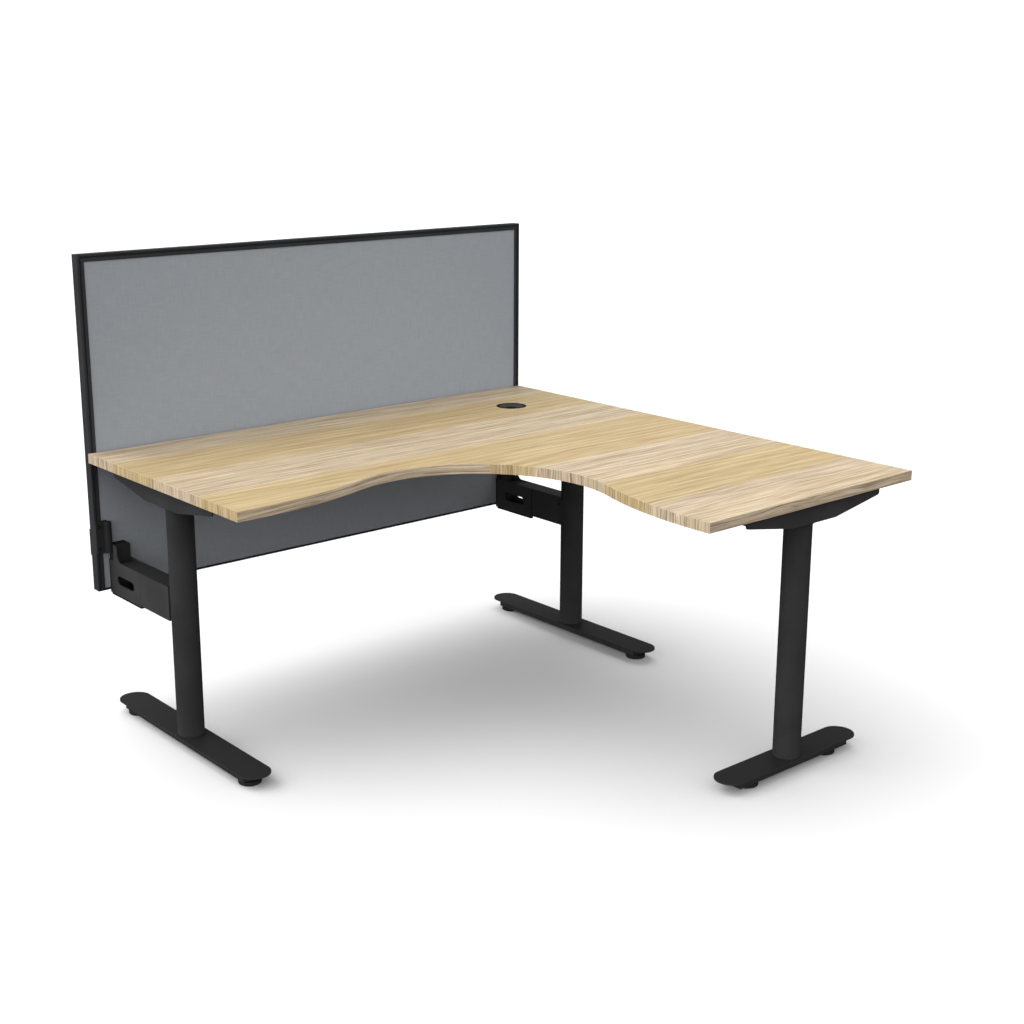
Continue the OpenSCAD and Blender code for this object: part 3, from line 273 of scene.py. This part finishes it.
def bands(across, intervals, soft):
    """1 between the two sides of each interval, 0 elsewhere, with soft sides."""
    reach = TOP_HIGH - TOP_LOW
    place = add_node(wood_print, "MapRange")
    for name, number in zip(("Value", "From Min", "From Max"), (across, TOP_LOW, TOP_HIGH)):
        feed(wood_print, place.inputs[name], number)
    ramp = add_node(wood_print, "ValToRGB")
    stops = []
    for low, high in sorted(intervals):
        stops += [(low - soft, 0), (low + soft, 1), (high - soft, 1), (high + soft, 0)]
    first, last = ramp.color_ramp.elements
    first.color = last.color = (0, 0, 0, 1)
    for row_y, level in stops:
        element = ramp.color_ramp.elements.new((row_y - TOP_LOW) / reach)
        element.color = (level, level, level, 1)
    feed(wood_print, ramp.inputs[0], place.outputs[0])
    return ramp.outputs["Color"]


drifted = calc(wood_print, "MULTIPLY_ADD", streaks(wood_in["Across"], *SIDE_DRIFT),
               SIDE_DRIFT_FAR,
               calc(wood_print, "SUBTRACT", wood_in["Across"], SIDE_DRIFT_FAR / 2))
golden = bands(drifted, GOLDEN_PLANKS, GOLDEN_SOFT)
cool = calc(wood_print, "SUBTRACT", 1.0, golden)
ashen = bands(drifted, ASHEN_STRIPS, ASHEN_SOFT)
arch_drift = calc(wood_print, "MULTIPLY", streaks(wood_in["Across"], *ARCH_DRIFT),
                  ARCH_DRIFT_TURNS)
arch_turns = calc(wood_print, "MULTIPLY_ADD", wood_in["Across"], ARCHES_PER_METRE, arch_drift)
arch_wave = calc(wood_print, "SINE", calc(wood_print, "MULTIPLY", arch_turns, 2 * math.pi))
arches = calc(wood_print, "MULTIPLY_ADD", arch_wave, 0.5, 0.5)
print("golden planks:", len(GOLDEN_PLANKS), "ashen strips:", len(ASHEN_STRIPS))

# %% [markdown]
# ### Colour, relief and gloss of the print
# The streaks are added up with weights into one tone, which picks a colour between the dark and
# the light one of its plank. Cool planks are livelier than golden ones and carry light lines on
# top, and the edging has dark knotted lines. Short dark pores give the surface its relief.

# %% Group: wood print, what it gives
STREAK_WEIGHTS = (("broad", 0.16), ("lines", 0.34), ("thin lines", 0.34), ("hairs", 0.16))
ARCH_WEIGHT = 0.05
COOL_SPREAD, GOLDEN_SPREAD, TONE_SPREAD = 1.25, 0.85, 5.0
GOLD_DARK, GOLD_LIGHT = (0.36, 0.24, 0.095, 1), (0.73, 0.575, 0.33, 1)
PINK_DARK, PINK_LIGHT = (0.365, 0.262, 0.145, 1), (0.79, 0.65, 0.452, 1)
ASH_SHADE, ASH_SHARE = (0.95, 0.95, 1.0, 1), 0.7
DARK_LINE, DARK_LIMITS = (0.45, 0.41, 0.38, 1), (0.50, 0.64)
LIGHT_LINE, LIGHT_LIMITS, LIGHT_SHARE = (0.86, 0.76, 0.60, 1), (0.60, 0.72), 0.55
PORE_SHADE, PORE_LIMITS, PORE_SHARE = (0.62, 0.55, 0.45, 1), (0.66, 0.78), 0.5
GLOSS_LIMITS = (0.3, 0.7)

arch_share = calc(wood_print, "MULTIPLY", golden, ARCH_WEIGHT)
mixed = weighed_sum(wood_print, *((streak[name], weight) for name, weight in STREAK_WEIGHTS),
                    (arches, arch_share))
centred = calc(wood_print, "SUBTRACT", calc(wood_print, "SUBTRACT", mixed, 0.5),
               calc(wood_print, "MULTIPLY", arch_share, 0.5))
livelier = ease(wood_print, golden, 0.0, 1.0, COOL_SPREAD, GOLDEN_SPREAD)
spread = calc(wood_print, "MULTIPLY", calc(wood_print, "MULTIPLY", centred, livelier),
              wood_in["Contrast"])
tone = calc(wood_print, "MULTIPLY_ADD", spread, TONE_SPREAD, 0.5)
plank = mix_tones(wood_print, golden, mix_tones(wood_print, tone, PINK_DARK, PINK_LIGHT),
                  mix_tones(wood_print, tone, GOLD_DARK, GOLD_LIGHT))
plank = mix_tones(wood_print, calc(wood_print, "MULTIPLY", ashen, ASH_SHARE), plank, ASH_SHADE,
                  "MULTIPLY")
dark_mask = calc(wood_print, "MULTIPLY", ease(wood_print, streak["knotted"], *DARK_LIMITS),
                 wood_in["Dark Lines"])
lined = mix_tones(wood_print, dark_mask, plank, DARK_LINE, "MULTIPLY")
light_mask = calc(wood_print, "MULTIPLY", calc(wood_print, "MULTIPLY", cool, LIGHT_SHARE),
                  ease(wood_print, streak["light lines"], *LIGHT_LIMITS))
lined = mix_tones(wood_print, light_mask, lined, LIGHT_LINE)
pore_mask = ease(wood_print, streak["pores"], *PORE_LIMITS)
feed(wood_print, wood_out["Color"],
     mix_tones(wood_print, calc(wood_print, "MULTIPLY", pore_mask, PORE_SHARE), lined,
               PORE_SHADE, "MULTIPLY"))
feed(wood_print, wood_out["Relief"], calc(wood_print, "SUBTRACT", streak["hairs"], pore_mask))
feed(wood_print, wood_out["Gloss"], ease(wood_print, streak["lines"], *GLOSS_LIMITS))
print("wood print:", len(wood_print.nodes), "nodes")

# %% [markdown]
# ### Worn edges
# Powder coat is thinnest on an edge and is rubbed there first. Blender's Bevel node tells how much
# the surface would turn if its edges were rounded. Where the rounded direction and the true one
# differ, there is an edge. The rounded direction is given back too, so that sharp solids catch
# light along their edges as real ones do.

# %% Group: edge wear
EDGE_RADIUS = 0.0012  # metres
TURN_LIMITS = (0.02, 0.25)
PATCHES_PER_METRE, PATCH_LIMITS = 60.0, (0.35, 0.7)

edge_wear, wear_in, wear_out = effect_group(
    "edge wear", [("Strength", "Float", 1.0)], [("Mask", "Float"), ("Normal", "Vector")])
rounded = add_node(edge_wear, "Bevel", samples=4)
rounded.inputs["Radius"].default_value = EDGE_RADIUS
likeness = add_node(edge_wear, "VectorMath", operation="DOT_PRODUCT")
feed(edge_wear, likeness.inputs[0], rounded.outputs[0])
feed(edge_wear, likeness.inputs[1], add_node(edge_wear, "NewGeometry").outputs["Normal"])
turned = calc(edge_wear, "SUBTRACT", 1.0, likeness.outputs["Value"])
where = add_node(edge_wear, "TexCoord").outputs["Object"]
patchy = ease(edge_wear, speckle(edge_wear, where, PATCHES_PER_METRE, detail=3.0),
              *PATCH_LIMITS)
worn = calc(edge_wear, "MULTIPLY", ease(edge_wear, turned, *TURN_LIMITS), patchy)
feed(edge_wear, wear_out["Mask"], calc(edge_wear, "MULTIPLY", worn, wear_in["Strength"]))
feed(edge_wear, wear_out["Normal"], rounded.outputs[0])
print("edge wear:", len(edge_wear.nodes), "nodes")

# %% [markdown]
# ### Coated and moulded skins
# Baked powder runs together into tiny low hills, like the skin of an orange. Moulded plastic has a
# finer, sharper grain. Both are noise at the right scale, so one group serves both: it gives a
# height and a slow change of shade, because no coat is even over a metre. The photograph shows the
# deepest black on the faces that lie upwards, so the group also tells which faces these are, for
# the painted shade that the finishes put on them, and how the first dust lies on them.

# %% Group: fine skin
SHADES_PER_METRE = 7.0
UPWARD_LIMITS = (0.6, 1.0)
DUST_PER_METRE, DUST_LIMITS = 25.0, (0.3, 0.8)

fine_skin, skin_in, skin_out = effect_group(
    "fine skin", [("Grain Size", "Float", 0.002)],
    [("Height", "Float"), ("Shade", "Float"), ("Upward", "Float"), ("Dust", "Float")])
where = add_node(fine_skin, "TexCoord").outputs["Object"]
grains_per_metre = calc(fine_skin, "DIVIDE", 1.0, skin_in["Grain Size"])
feed(fine_skin, skin_out["Height"], speckle(fine_skin, where, grains_per_metre))
feed(fine_skin, skin_out["Shade"], speckle(fine_skin, where, SHADES_PER_METRE, detail=4.0))
facing = add_node(fine_skin, "SeparateXYZ")
feed(fine_skin, facing.inputs[0], add_node(fine_skin, "NewGeometry").outputs["Normal"])
# faces that lie upwards: the coats paint shade on them with this mask (painted shade), and dust
# settles there
upward_for_dust_and_shade = ease(fine_skin, facing.outputs[2], *UPWARD_LIMITS)
dust = ease(fine_skin, speckle(fine_skin, where, DUST_PER_METRE, detail=5.0), *DUST_LIMITS)
feed(fine_skin, skin_out["Upward"], upward_for_dust_and_shade)
feed(fine_skin, skin_out["Dust"], calc(fine_skin, "MULTIPLY", upward_for_dust_and_shade, dust))
print("fine skin:", len(fine_skin.nodes), "nodes")

# %% [markdown]
# ## Wood finishes
# Each finish is one material: a Principled shader with its own colour and gloss, fed by the shared
# groups. The first is the board, satin melamine with the wood print. The second is its edging,
# whose lines are coarser and stronger. In the photograph the wood hardly tints the cloth behind
# it, so light that goes on from the wood to other pieces meets a greyer board, as bright as the
# wood.

# %% Wood finishes
WOOD_WORN, WOOD_WEAR = (0.80, 0.68, 0.5, 1), 0.3
WOOD_ROUGHNESS = (0.46, 0.56)
WOOD_DEPTH, WOOD_BUMP, WOOD_SHINE = 0.00012, 0.5, 0.3
CAST_HELD, CAST_GREY = 0.7, (0.49, 0.49, 0.49, 1)


def new_finish(name):
    """A material, its tree and its shader."""
    finish = bpy.data.materials.new(name)
    finish.use_nodes = True
    return finish, finish.node_tree, finish.node_tree.nodes["Principled BSDF"]


def relief(tree, height, depth, strength, normal=None):
    """A Bump node's output; depth is in metres."""
    made = add_node(tree, "Bump")
    made.inputs["Strength"].default_value = strength
    made.inputs["Distance"].default_value = depth
    feed(tree, made.inputs["Height"], height)
    if normal is not None:
        feed(tree, made.inputs["Normal"], normal)
    return made.outputs["Normal"]


def wood_finish(name, line_size, contrast, dark_lines, tint):
    """Melamine with the wood print."""
    finish, tree, shader = new_finish(name)
    where = place_group(tree, grain_place)
    oak = place_group(tree, wood_print, Along=where["Along"], Across=where["Across"],
                      Line_Size=line_size, Contrast=contrast, Dark_Lines=dark_lines)
    edge = place_group(tree, edge_wear, Strength=WOOD_WEAR)
    tinted = mix_tones(tree, 1.0, oak["Color"], tint, "MULTIPLY")
    wood = mix_tones(tree, edge["Mask"], tinted, WOOD_WORN)
    passed_on = add_node(tree, "LightPath").outputs["Is Diffuse Ray"]
    feed(tree, shader.inputs["Base Color"],
         mix_tones(tree, calc(tree, "MULTIPLY", passed_on, CAST_HELD), wood, CAST_GREY))
    feed(tree, shader.inputs["Roughness"], ease(tree, oak["Gloss"], 0, 1, *WOOD_ROUGHNESS))
    feed(tree, shader.inputs["Normal"],
         relief(tree, oak["Relief"], WOOD_DEPTH, WOOD_BUMP, edge["Normal"]))
    shader.inputs["Specular IOR Level"].default_value = WOOD_SHINE
    print("finish", name)
    return finish


oak_board = wood_finish("oak_board", line_size=1.0, contrast=1.0, dark_lines=0.0,
                        tint=(1.0, 1.0, 1.0, 1))
oak_edging = wood_finish("oak_edging", line_size=0.30, contrast=1.3, dark_lines=0.80,
                         tint=(1.24, 1.25, 1.30, 1))

# %% [markdown]
# ## Coats, castings, plastics and the lips' black
# Legs, arms and the screen's rails are black powder coat in three grades of gloss, and the arms
# get a lighter copy of the legs' coat, which is painted light. The clamps are castings with a
# rougher
# skin. Cap, liner and pads are moulded plastic. One recipe with different numbers makes them all:
# colour, roughness, how coarse the skin is, how far edges have worn, and how much darker, on the
# cap lighter, the faces that lie upwards are painted, as painted shade.

# %% Coat recipe
LIGHTER = 1.25  # how much lighter the lightest patches of a coat are
# painted shade: faces that lie upwards are painted this share of the coat's colour
UPWARD_PAINTED_SHADE = 0.6  # the colour of faces that lie upwards, as a share of the coat's
COAT_SHINE = 0.02
PATCHES_SHADE, PATCHES_GLOSS = (0.3, 0.7), (0.25, 0.75)
GLOSS_SWING = 0.05
COAT_BUMP = 0.6
DUST, DUST_SHARE = (0.6, 0.58, 0.55, 1), 0.003


def scaled(colour, factor):
    """The colour made lighter or darker."""
    return tuple(channel * factor for channel in colour[:3]) + (1,)


def coat_finish(name, colour, worn_colour, roughness, grain, depth, wear, shine=COAT_SHINE,
                metal=0.0, painted_upward_tone=UPWARD_PAINTED_SHADE):
    """Powder coat, casting, plastic or the lips' near black; grain and depth of its skin are in
    metres; painted_upward_tone paints faces that lie upwards darker as painted shade, on the cap
    lighter.
    """
    finish, tree, shader = new_finish(name)
    skin = place_group(tree, fine_skin, Grain_Size=grain)
    edge = place_group(tree, edge_wear, Strength=wear)
    patches = mix_tones(tree, ease(tree, skin["Shade"], *PATCHES_SHADE), colour,
                        scaled(colour, LIGHTER))
    # painted shade: faces that lie upwards are painted in the coat's colour times
    # painted_upward_tone
    coat = mix_tones(tree, skin["Upward"], patches, scaled(colour, painted_upward_tone))
    dusty = mix_tones(tree, calc(tree, "MULTIPLY", skin["Dust"], DUST_SHARE), coat, DUST)
    feed(tree, shader.inputs["Base Color"], mix_tones(tree, edge["Mask"], dusty, worn_colour))
    feed(tree, shader.inputs["Roughness"],
         ease(tree, skin["Shade"], *PATCHES_GLOSS, roughness - GLOSS_SWING,
              roughness + GLOSS_SWING))
    feed(tree, shader.inputs["Normal"],
         relief(tree, skin["Height"], depth, COAT_BUMP, edge["Normal"]))
    shader.inputs["Specular IOR Level"].default_value = shine
    shader.inputs["Metallic"].default_value = metal
    print("finish", name)
    return finish


# %% The coats
RUBBED = (0.07, 0.07, 0.072, 1)
powder_black = coat_finish("powder_black", (0.042, 0.042, 0.0425, 1), RUBBED, 0.42,
                           grain=0.0022, depth=0.00006, wear=0.5)
# painted light: the same black coat as powder_black, made lighter for the arms
arm_black_painted_light = coat_finish("arm_black_painted_light", (0.053, 0.053, 0.054, 1), RUBBED, 0.45,
                        grain=0.0022, depth=0.00006, wear=0.5)
rail_black = coat_finish("rail_black", (0.040, 0.041, 0.044, 1), RUBBED, 0.38,
                         grain=0.0015, depth=0.00003, wear=0.5)
cast_black = coat_finish("cast_black", (0.032, 0.032, 0.033, 1), RUBBED, 0.55,
                         grain=0.0012, depth=0.00012, wear=0.7)
bare_casting = coat_finish("bare_casting", (0.45, 0.45, 0.46, 1), (0.7, 0.7, 0.71, 1), 0.4,
                           grain=0.0012, depth=0.00008, wear=0.5, shine=0.5, metal=1.0)
screw_black = coat_finish("screw_black", (0.02, 0.02, 0.021, 1), (0.3, 0.3, 0.31, 1), 0.35,
                          grain=0.0006, depth=0.00002, wear=0.8, shine=0.5, metal=0.6)
plastic_black = coat_finish("plastic_black", (0.030, 0.030, 0.031, 1), RUBBED, 0.5,
                            grain=0.0008, depth=0.00005, wear=0.3, painted_upward_tone=0.4)

# %% [markdown]
# ### Cap, softboard and lips
# The photograph shows the cable cap grey on top and black in its crescent slot. So the cap's colour
# is nearly black, and the faces that lie upwards are several times lighter: the black of the slot's
# walls is painted shade. The board inside the screen is pale pressed fibre. The lips under the
# screen's arms are near black, blacker than any coat, and shine less.

# %% Three more finishes
# painted shade: the cap is near black except on faces that lie upwards, so the slot's walls are
# painted black as shade
plastic_grey = coat_finish("plastic_grey", (0.008, 0.009, 0.010, 1), (0.05, 0.055, 0.06, 1), 0.5,
                           grain=0.0008, depth=0.00005, wear=0.3, shine=0.1, painted_upward_tone=4.2)
softboard = coat_finish("softboard", (0.42, 0.33, 0.21, 1), (0.5, 0.4, 0.27, 1), 0.85,
                        grain=0.0025, depth=0.0004, wear=0.2, shine=0.2)
lip_near_black = coat_finish("lip_near_black", (0.006, 0.006, 0.0065, 1), (0.012, 0.012, 0.013, 1), 0.7,
                         grain=0.0006, depth=0.00004, wear=0.3)

# %% [markdown]
# ## Screen cloth
# The panel is covered with a plain-woven polyester cloth, grey with a touch of blue. Threads about
# a millimetre apart pass over and under each other. Two sine waves at right angles give the
# threads, and their product tells which one is on top. Slow noise along each direction stands for
# yarn that is never quite even.

# %% Group: weave
THREAD = 0.0011  # metres from thread to thread
OVER_LIMITS = (-0.3, 0.3)
YARNS_PER_METRE, KNOTS_PER_METRE = 420.0, 22.0

weave, weave_in, weave_out = effect_group(
    "weave", [("Thread", "Float", THREAD)], [("Height", "Float"), ("Shade", "Float")])
spot = add_node(weave, "SeparateXYZ")
feed(weave, spot.inputs[0], add_node(weave, "TexCoord").outputs["Object"])
x_place, _, z_place = spot.outputs


def thread_wave(place):
    """A wave from -1 to 1 that repeats every two threads."""
    turns = calc(weave, "DIVIDE", place, weave_in["Thread"])
    return calc(weave, "SINE", calc(weave, "MULTIPLY", turns, math.pi))


def uneven_yarn(across, along):
    """Noise drawn out along one yarn direction."""
    place = add_node(weave, "CombineXYZ")
    feed(weave, place.inputs[0], calc(weave, "MULTIPLY", across, YARNS_PER_METRE))
    feed(weave, place.inputs[1], calc(weave, "MULTIPLY", along, KNOTS_PER_METRE))
    return speckle(weave, place.outputs[0], 1.0)


warp, weft = thread_wave(x_place), thread_wave(z_place)
warp_high, weft_high = (calc(weave, "MULTIPLY", thread, thread) for thread in (warp, weft))
warp_over = ease(weave, calc(weave, "MULTIPLY", warp, weft), *OVER_LIMITS)
weft_over = calc(weave, "SUBTRACT", 1.0, warp_over)
feed(weave, weave_out["Height"],
     weighed_sum(weave, (warp_high, warp_over), (weft_high, weft_over)))
yarns = calc(weave, "ADD", uneven_yarn(x_place, z_place), uneven_yarn(z_place, x_place))
feed(weave, weave_out["Shade"], calc(weave, "MULTIPLY", yarns, 0.5))
print("weave:", len(weave.nodes), "nodes")

# %% [markdown]
# ### The cloth's finish
# The crown of a thread is painted lighter than the gaps beside it, as painted shade in the gaps,
# and some yarns are lighter than others.
# Both pick a grey between a dark and a light one. Polyester has a faint sheen at flat angles.

# %% Cloth finish
CLOTH_DARK, CLOTH_LIGHT = (0.363, 0.386, 0.417, 1), (0.437, 0.462, 0.496, 1)
THREAD_GAP_SHADE, YARN_SHARE, YARN_LIMITS = 0.4, 0.6, (0.35, 0.65)
CLOTH_ROUGHNESS, CLOTH_GLOSS_LIMITS = (0.82, 0.92), (0.3, 0.7)
CLOTH_DEPTH, CLOTH_BUMP = 0.0003, 0.5

screen_cloth, tree, shader = new_finish("screen_cloth")
threads = place_group(tree, weave)
# painted shade: the low gaps between threads are painted darker than the crowns
tone = calc(tree, "ADD", calc(tree, "MULTIPLY", threads["Height"], THREAD_GAP_SHADE),
            ease(tree, threads["Shade"], *YARN_LIMITS, 0.0, YARN_SHARE))
feed(tree, shader.inputs["Base Color"], mix_tones(tree, tone, CLOTH_DARK, CLOTH_LIGHT))
feed(tree, shader.inputs["Roughness"],
     ease(tree, threads["Shade"], *CLOTH_GLOSS_LIMITS, *CLOTH_ROUGHNESS))
feed(tree, shader.inputs["Normal"], relief(tree, threads["Height"], CLOTH_DEPTH, CLOTH_BUMP))
shader.inputs["Sheen Weight"].default_value = 0.15
shader.inputs["Sheen Roughness"].default_value = 0.5
shader.inputs["Specular IOR Level"].default_value = 0.15
print("finishes:", len(bpy.data.materials))

# %% [markdown]
# ## Which piece has which finish
# The imported record names a material slot for every solid. One table from slot to finish therefore
# dresses the whole frame, and nothing can be forgotten. Only the arms differ from their slot: the
# photograph shows them a shade lighter than the other steel, so they get a lighter copy of its
# coat, which is painted light.

# %% Dress the solids
FINISH_OF = {
    "laminate": oak_board, "edge": oak_edging, "steel": powder_black, "casting": cast_black,
    "extrusion": rail_black, "key": bare_casting, "fastener": screw_black,
    "black_plastic": plastic_black, "grey_plastic": plastic_grey, "fabric": screen_cloth,
    "core": softboard}
ARM_WORDS = ("support_arm", "beam", "sleeve")


def dress(piece, finish):
    """Gives the whole piece one finish."""
    piece.data.materials.clear()
    piece.data.materials.append(finish)


for part in frame["record"]["subparts"]:
    finish = FINISH_OF[part["material_slot"]]
    # the arms get the lighter copy of the coat, which is painted light
    if finish == powder_black and part["node"].startswith(ARM_WORDS):
        finish = arm_black_painted_light
    dress(frame["nodes"][part["node"]], finish)

# %% [markdown]
# ## The two cloths
# Cloth is pulled tight over the softboard and tucked into the rails' grooves. So it is a thin skin
# that lies flat, dips a little where a rail's lip presses on it, and isn't perfectly even. A grid
# of points is moved by those small amounts and then given its thickness. The grid is finer beside
# the rails, where the cloth dips.

# %% The shape of a cloth
import bmesh
from mathutils import noise, Vector

CLOTH_THICK = 0.0008  # all sizes from here on are in metres
RAIL_INSIDE = 0.0052  # how far the cloth reaches into the groove of a rail
RAIL_PRESS, RAIL_REACH = 0.0005, 0.012  # how deep a rail presses, and how far that shows
UNEVEN, UNEVEN_PER_METRE = 0.00012, 6
NEAR_RAIL = (0.0, 0.005, 0.008, 0.012, 0.018, 0.026)  # grid lines beside a rail
MIDDLE_FROM = 0.04  # where the evenly spaced lines begin
CLOTH_COLUMNS, CLOTH_ROWS = 60, 36


def make_piece(name, shape, finish):
    """A piece with this shape and one finish."""
    mesh = bpy.data.meshes.new(name)
    shape.to_mesh(mesh)
    shape.free()
    piece = bpy.data.objects.new(name, mesh)
    bpy.context.collection.objects.link(piece)
    dress(piece, finish)
    return piece


def cloth_sunk(x, z, low, high):
    """How far the cloth sinks towards the board at a point."""
    from_rail = min(x - low.x, high.x - x, z - low.z, high.z - z) - RAIL_INSIDE
    pressed = RAIL_PRESS * (1 - min(1.0, max(0.0, from_rail / RAIL_REACH))) ** 2
    place = Vector((x * UNEVEN_PER_METRE, z * UNEVEN_PER_METRE, low.y))
    return pressed + UNEVEN * noise.noise(place)


def grid_lines(start, end, steps):
    """Places along one side, close together near both ends."""
    between = end - start - 2 * MIDDLE_FROM
    middle = [MIDDLE_FROM + between * k / steps for k in range(steps + 1)]
    near_start = [start + far for far in (*NEAR_RAIL, *middle)]
    return near_start + [end - far for far in reversed(NEAR_RAIL)]


def cloth_shape(low, high, outward):
    """Two layers of a grid in the box, joined round the rim; outward is the good side's way."""
    face = low.y + UNEVEN if outward < 0 else high.y - UNEVEN
    columns = grid_lines(low.x, high.x, CLOTH_COLUMNS)
    rows = grid_lines(low.z, high.z, CLOTH_ROWS)
    shape = bmesh.new()

    def point(x, z, depth):
        return shape.verts.new((x, face - outward * (cloth_sunk(x, z, low, high) + depth), z))

    layers = [[[point(x, z, depth) for x in columns] for z in rows]
              for depth in (0.0, CLOTH_THICK - 2 * UNEVEN)]
    for layer in layers:
        for lower, upper in zip(layer, layer[1:]):
            for c in range(len(columns) - 1):
                shape.faces.new((lower[c], lower[c + 1], upper[c + 1], upper[c]))
    last_row, last_column = len(rows) - 1, len(columns) - 1
    rim = [(0, c) for c in range(last_column)] + [(r, last_column) for r in range(last_row)]
    rim += [(last_row, c) for c in range(last_column, 0, -1)]
    rim += [(r, 0) for r in range(last_row, 0, -1)]
    front, back = layers
    for (r0, c0), (r1, c1) in zip(rim, rim[1:] + rim[:1]):
        shape.faces.new((front[r1][c1], front[r0][c0], back[r0][c0], back[r1][c1]))
    bmesh.ops.recalc_face_normals(shape, faces=shape.faces)
    return shape


# %% Build the cloths
def build_cloth(name, node, outward):
    """A stretched cloth in the room of the CAD node; outward is the way its good side faces."""
    low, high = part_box(node)
    cloth = make_piece(name, cloth_shape(low, high, outward), screen_cloth)
    for polygon in cloth.data.polygons:
        polygon.use_smooth = True
    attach(cloth, "screen")
    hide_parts(node)


build_cloth("screen_cloth_front", "screen_fabric_front", -1)
build_cloth("screen_cloth_back", "screen_fabric_back", 1)

# %% [markdown]
# ## Lips under the sleeves
# The photograph shows a black line just under each sleeve, 4 to 5 mm high, which ends where the
# sleeve does. The solids have nothing there. So a near-black bar with rounded edges is laid along
# both lower edges of the sleeve, as dark as that line, and leaves the middle free for the screws'
# heads. It is read as a rubber lip along both lower edges of the sleeve, which keeps the sheet's
# cut edge from scratching.

# %% Build the lips
LIP_HIGH, LIP_WIDE, LIP_ROUND = 0.0046, 0.009, 0.0008


def build_lip(name, sleeve, side):
    """A rounded bar under one lower edge of the sleeve; side -1 is the edge at the lower X."""
    low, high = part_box(sleeve)
    middle_x = low.x + LIP_WIDE / 2 if side < 0 else high.x - LIP_WIDE / 2
    middle = Vector((middle_x, (low.y + high.y) / 2, low.z - LIP_HIGH / 2))
    size = Vector((LIP_WIDE, high.y - low.y, LIP_HIGH))
    shape = bmesh.new()
    for corner in bmesh.ops.create_cube(shape, size=1.0)["verts"]:
        corner.co = middle + corner.co * size
    bmesh.ops.bevel(shape, geom=list(shape.edges), offset=LIP_ROUND, segments=3, profile=0.5,
                    affect="EDGES")
    lip = make_piece(name, shape, lip_near_black)
    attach(lip, "screen")
    print(name, "at", [round(value, 4) for value in middle])


for hand, outer_side in (("left", -1), ("right", 1)):
    build_lip(f"sleeve_lip_{hand}_outer", f"sleeve_{hand}", outer_side)
    build_lip(f"sleeve_lip_{hand}_inner", f"sleeve_{hand}", -outer_side)

# %% [markdown]
# ## The studio
# The photograph has a white ground without an end, and a pool of shade that lies right under the
# desk, a little to the front. So there is an even fill and three wide soft glows: one above and
# slightly behind the desk, one at the left and behind, one at the left and in front. The camera
# sees plain white beyond the floor. The floor is white for the camera too, but sends less light
# back up, as a matt dark floor does, which keeps the undersides as dark as in the photograph.

# %% Floor
FLOOR_HALF = 40.0
FLOOR_SEEN, FLOOR_BOUNCE = (0.97, 0.97, 0.97, 1), (0.05, 0.05, 0.05, 1)
BELOW_PADS = 0.0005

scene.view_settings.view_transform = "Standard"
floor_paint, tree, shader = new_finish("floor_paint")
seen = add_node(tree, "LightPath").outputs["Is Camera Ray"]
feed(tree, shader.inputs["Base Color"], mix_tones(tree, seen, FLOOR_BOUNCE, FLOOR_SEEN))
shader.inputs["Roughness"].default_value = 0.9
shader.inputs["Specular IOR Level"].default_value = 0.0
floor_shape = bmesh.new()
bmesh.ops.create_grid(floor_shape, x_segments=1, y_segments=1, size=FLOOR_HALF)
floor = make_piece("floor", floor_shape, floor_paint)
floor.location = (0.0, 0.0, -BELOW_PADS)
print("floor:", 2 * FLOOR_HALF, "m wide")

# %% Sky
FILL = 0.46
SOFT_GLOWS = (  # where each glow comes from, how near its middle it begins, how strong it is
    ((-0.05, 0.40, 0.91), 0.62, 1.60),
    ((-0.85, 0.49, 0.17), 0.40, 1.60),
    ((-0.45, -0.88, 0.14), 0.30, 0.85))
WHITE_BEYOND = 1.3

sky = bpy.data.worlds.new("studio")
sky.use_nodes = True
tree = sky.node_tree
sent = tree.nodes["Background"]
outward = add_node(tree, "TexCoord").outputs["Generated"]
strength = FILL
for middle, start, power in SOFT_GLOWS:
    towards = add_node(tree, "VectorMath", operation="DOT_PRODUCT")
    feed(tree, towards.inputs[0], outward)
    feed(tree, towards.inputs[1], middle)
    glow = calc(tree, "MULTIPLY", ease(tree, towards.outputs["Value"], start, 1.0), power)
    strength = calc(tree, "ADD", strength, glow)
seen = add_node(tree, "LightPath").outputs["Is Camera Ray"]
feed(tree, sent.inputs["Strength"], calc(tree, "MAXIMUM", strength,
                                         calc(tree, "MULTIPLY", seen, WHITE_BEYOND)))
sent.inputs["Color"].default_value = (1.0, 1.0, 1.0, 1)
scene.world = sky
print("glows in the sky:", len(SOFT_GLOWS))

# %% [markdown]
# ## The end

# %% The last cell
import json
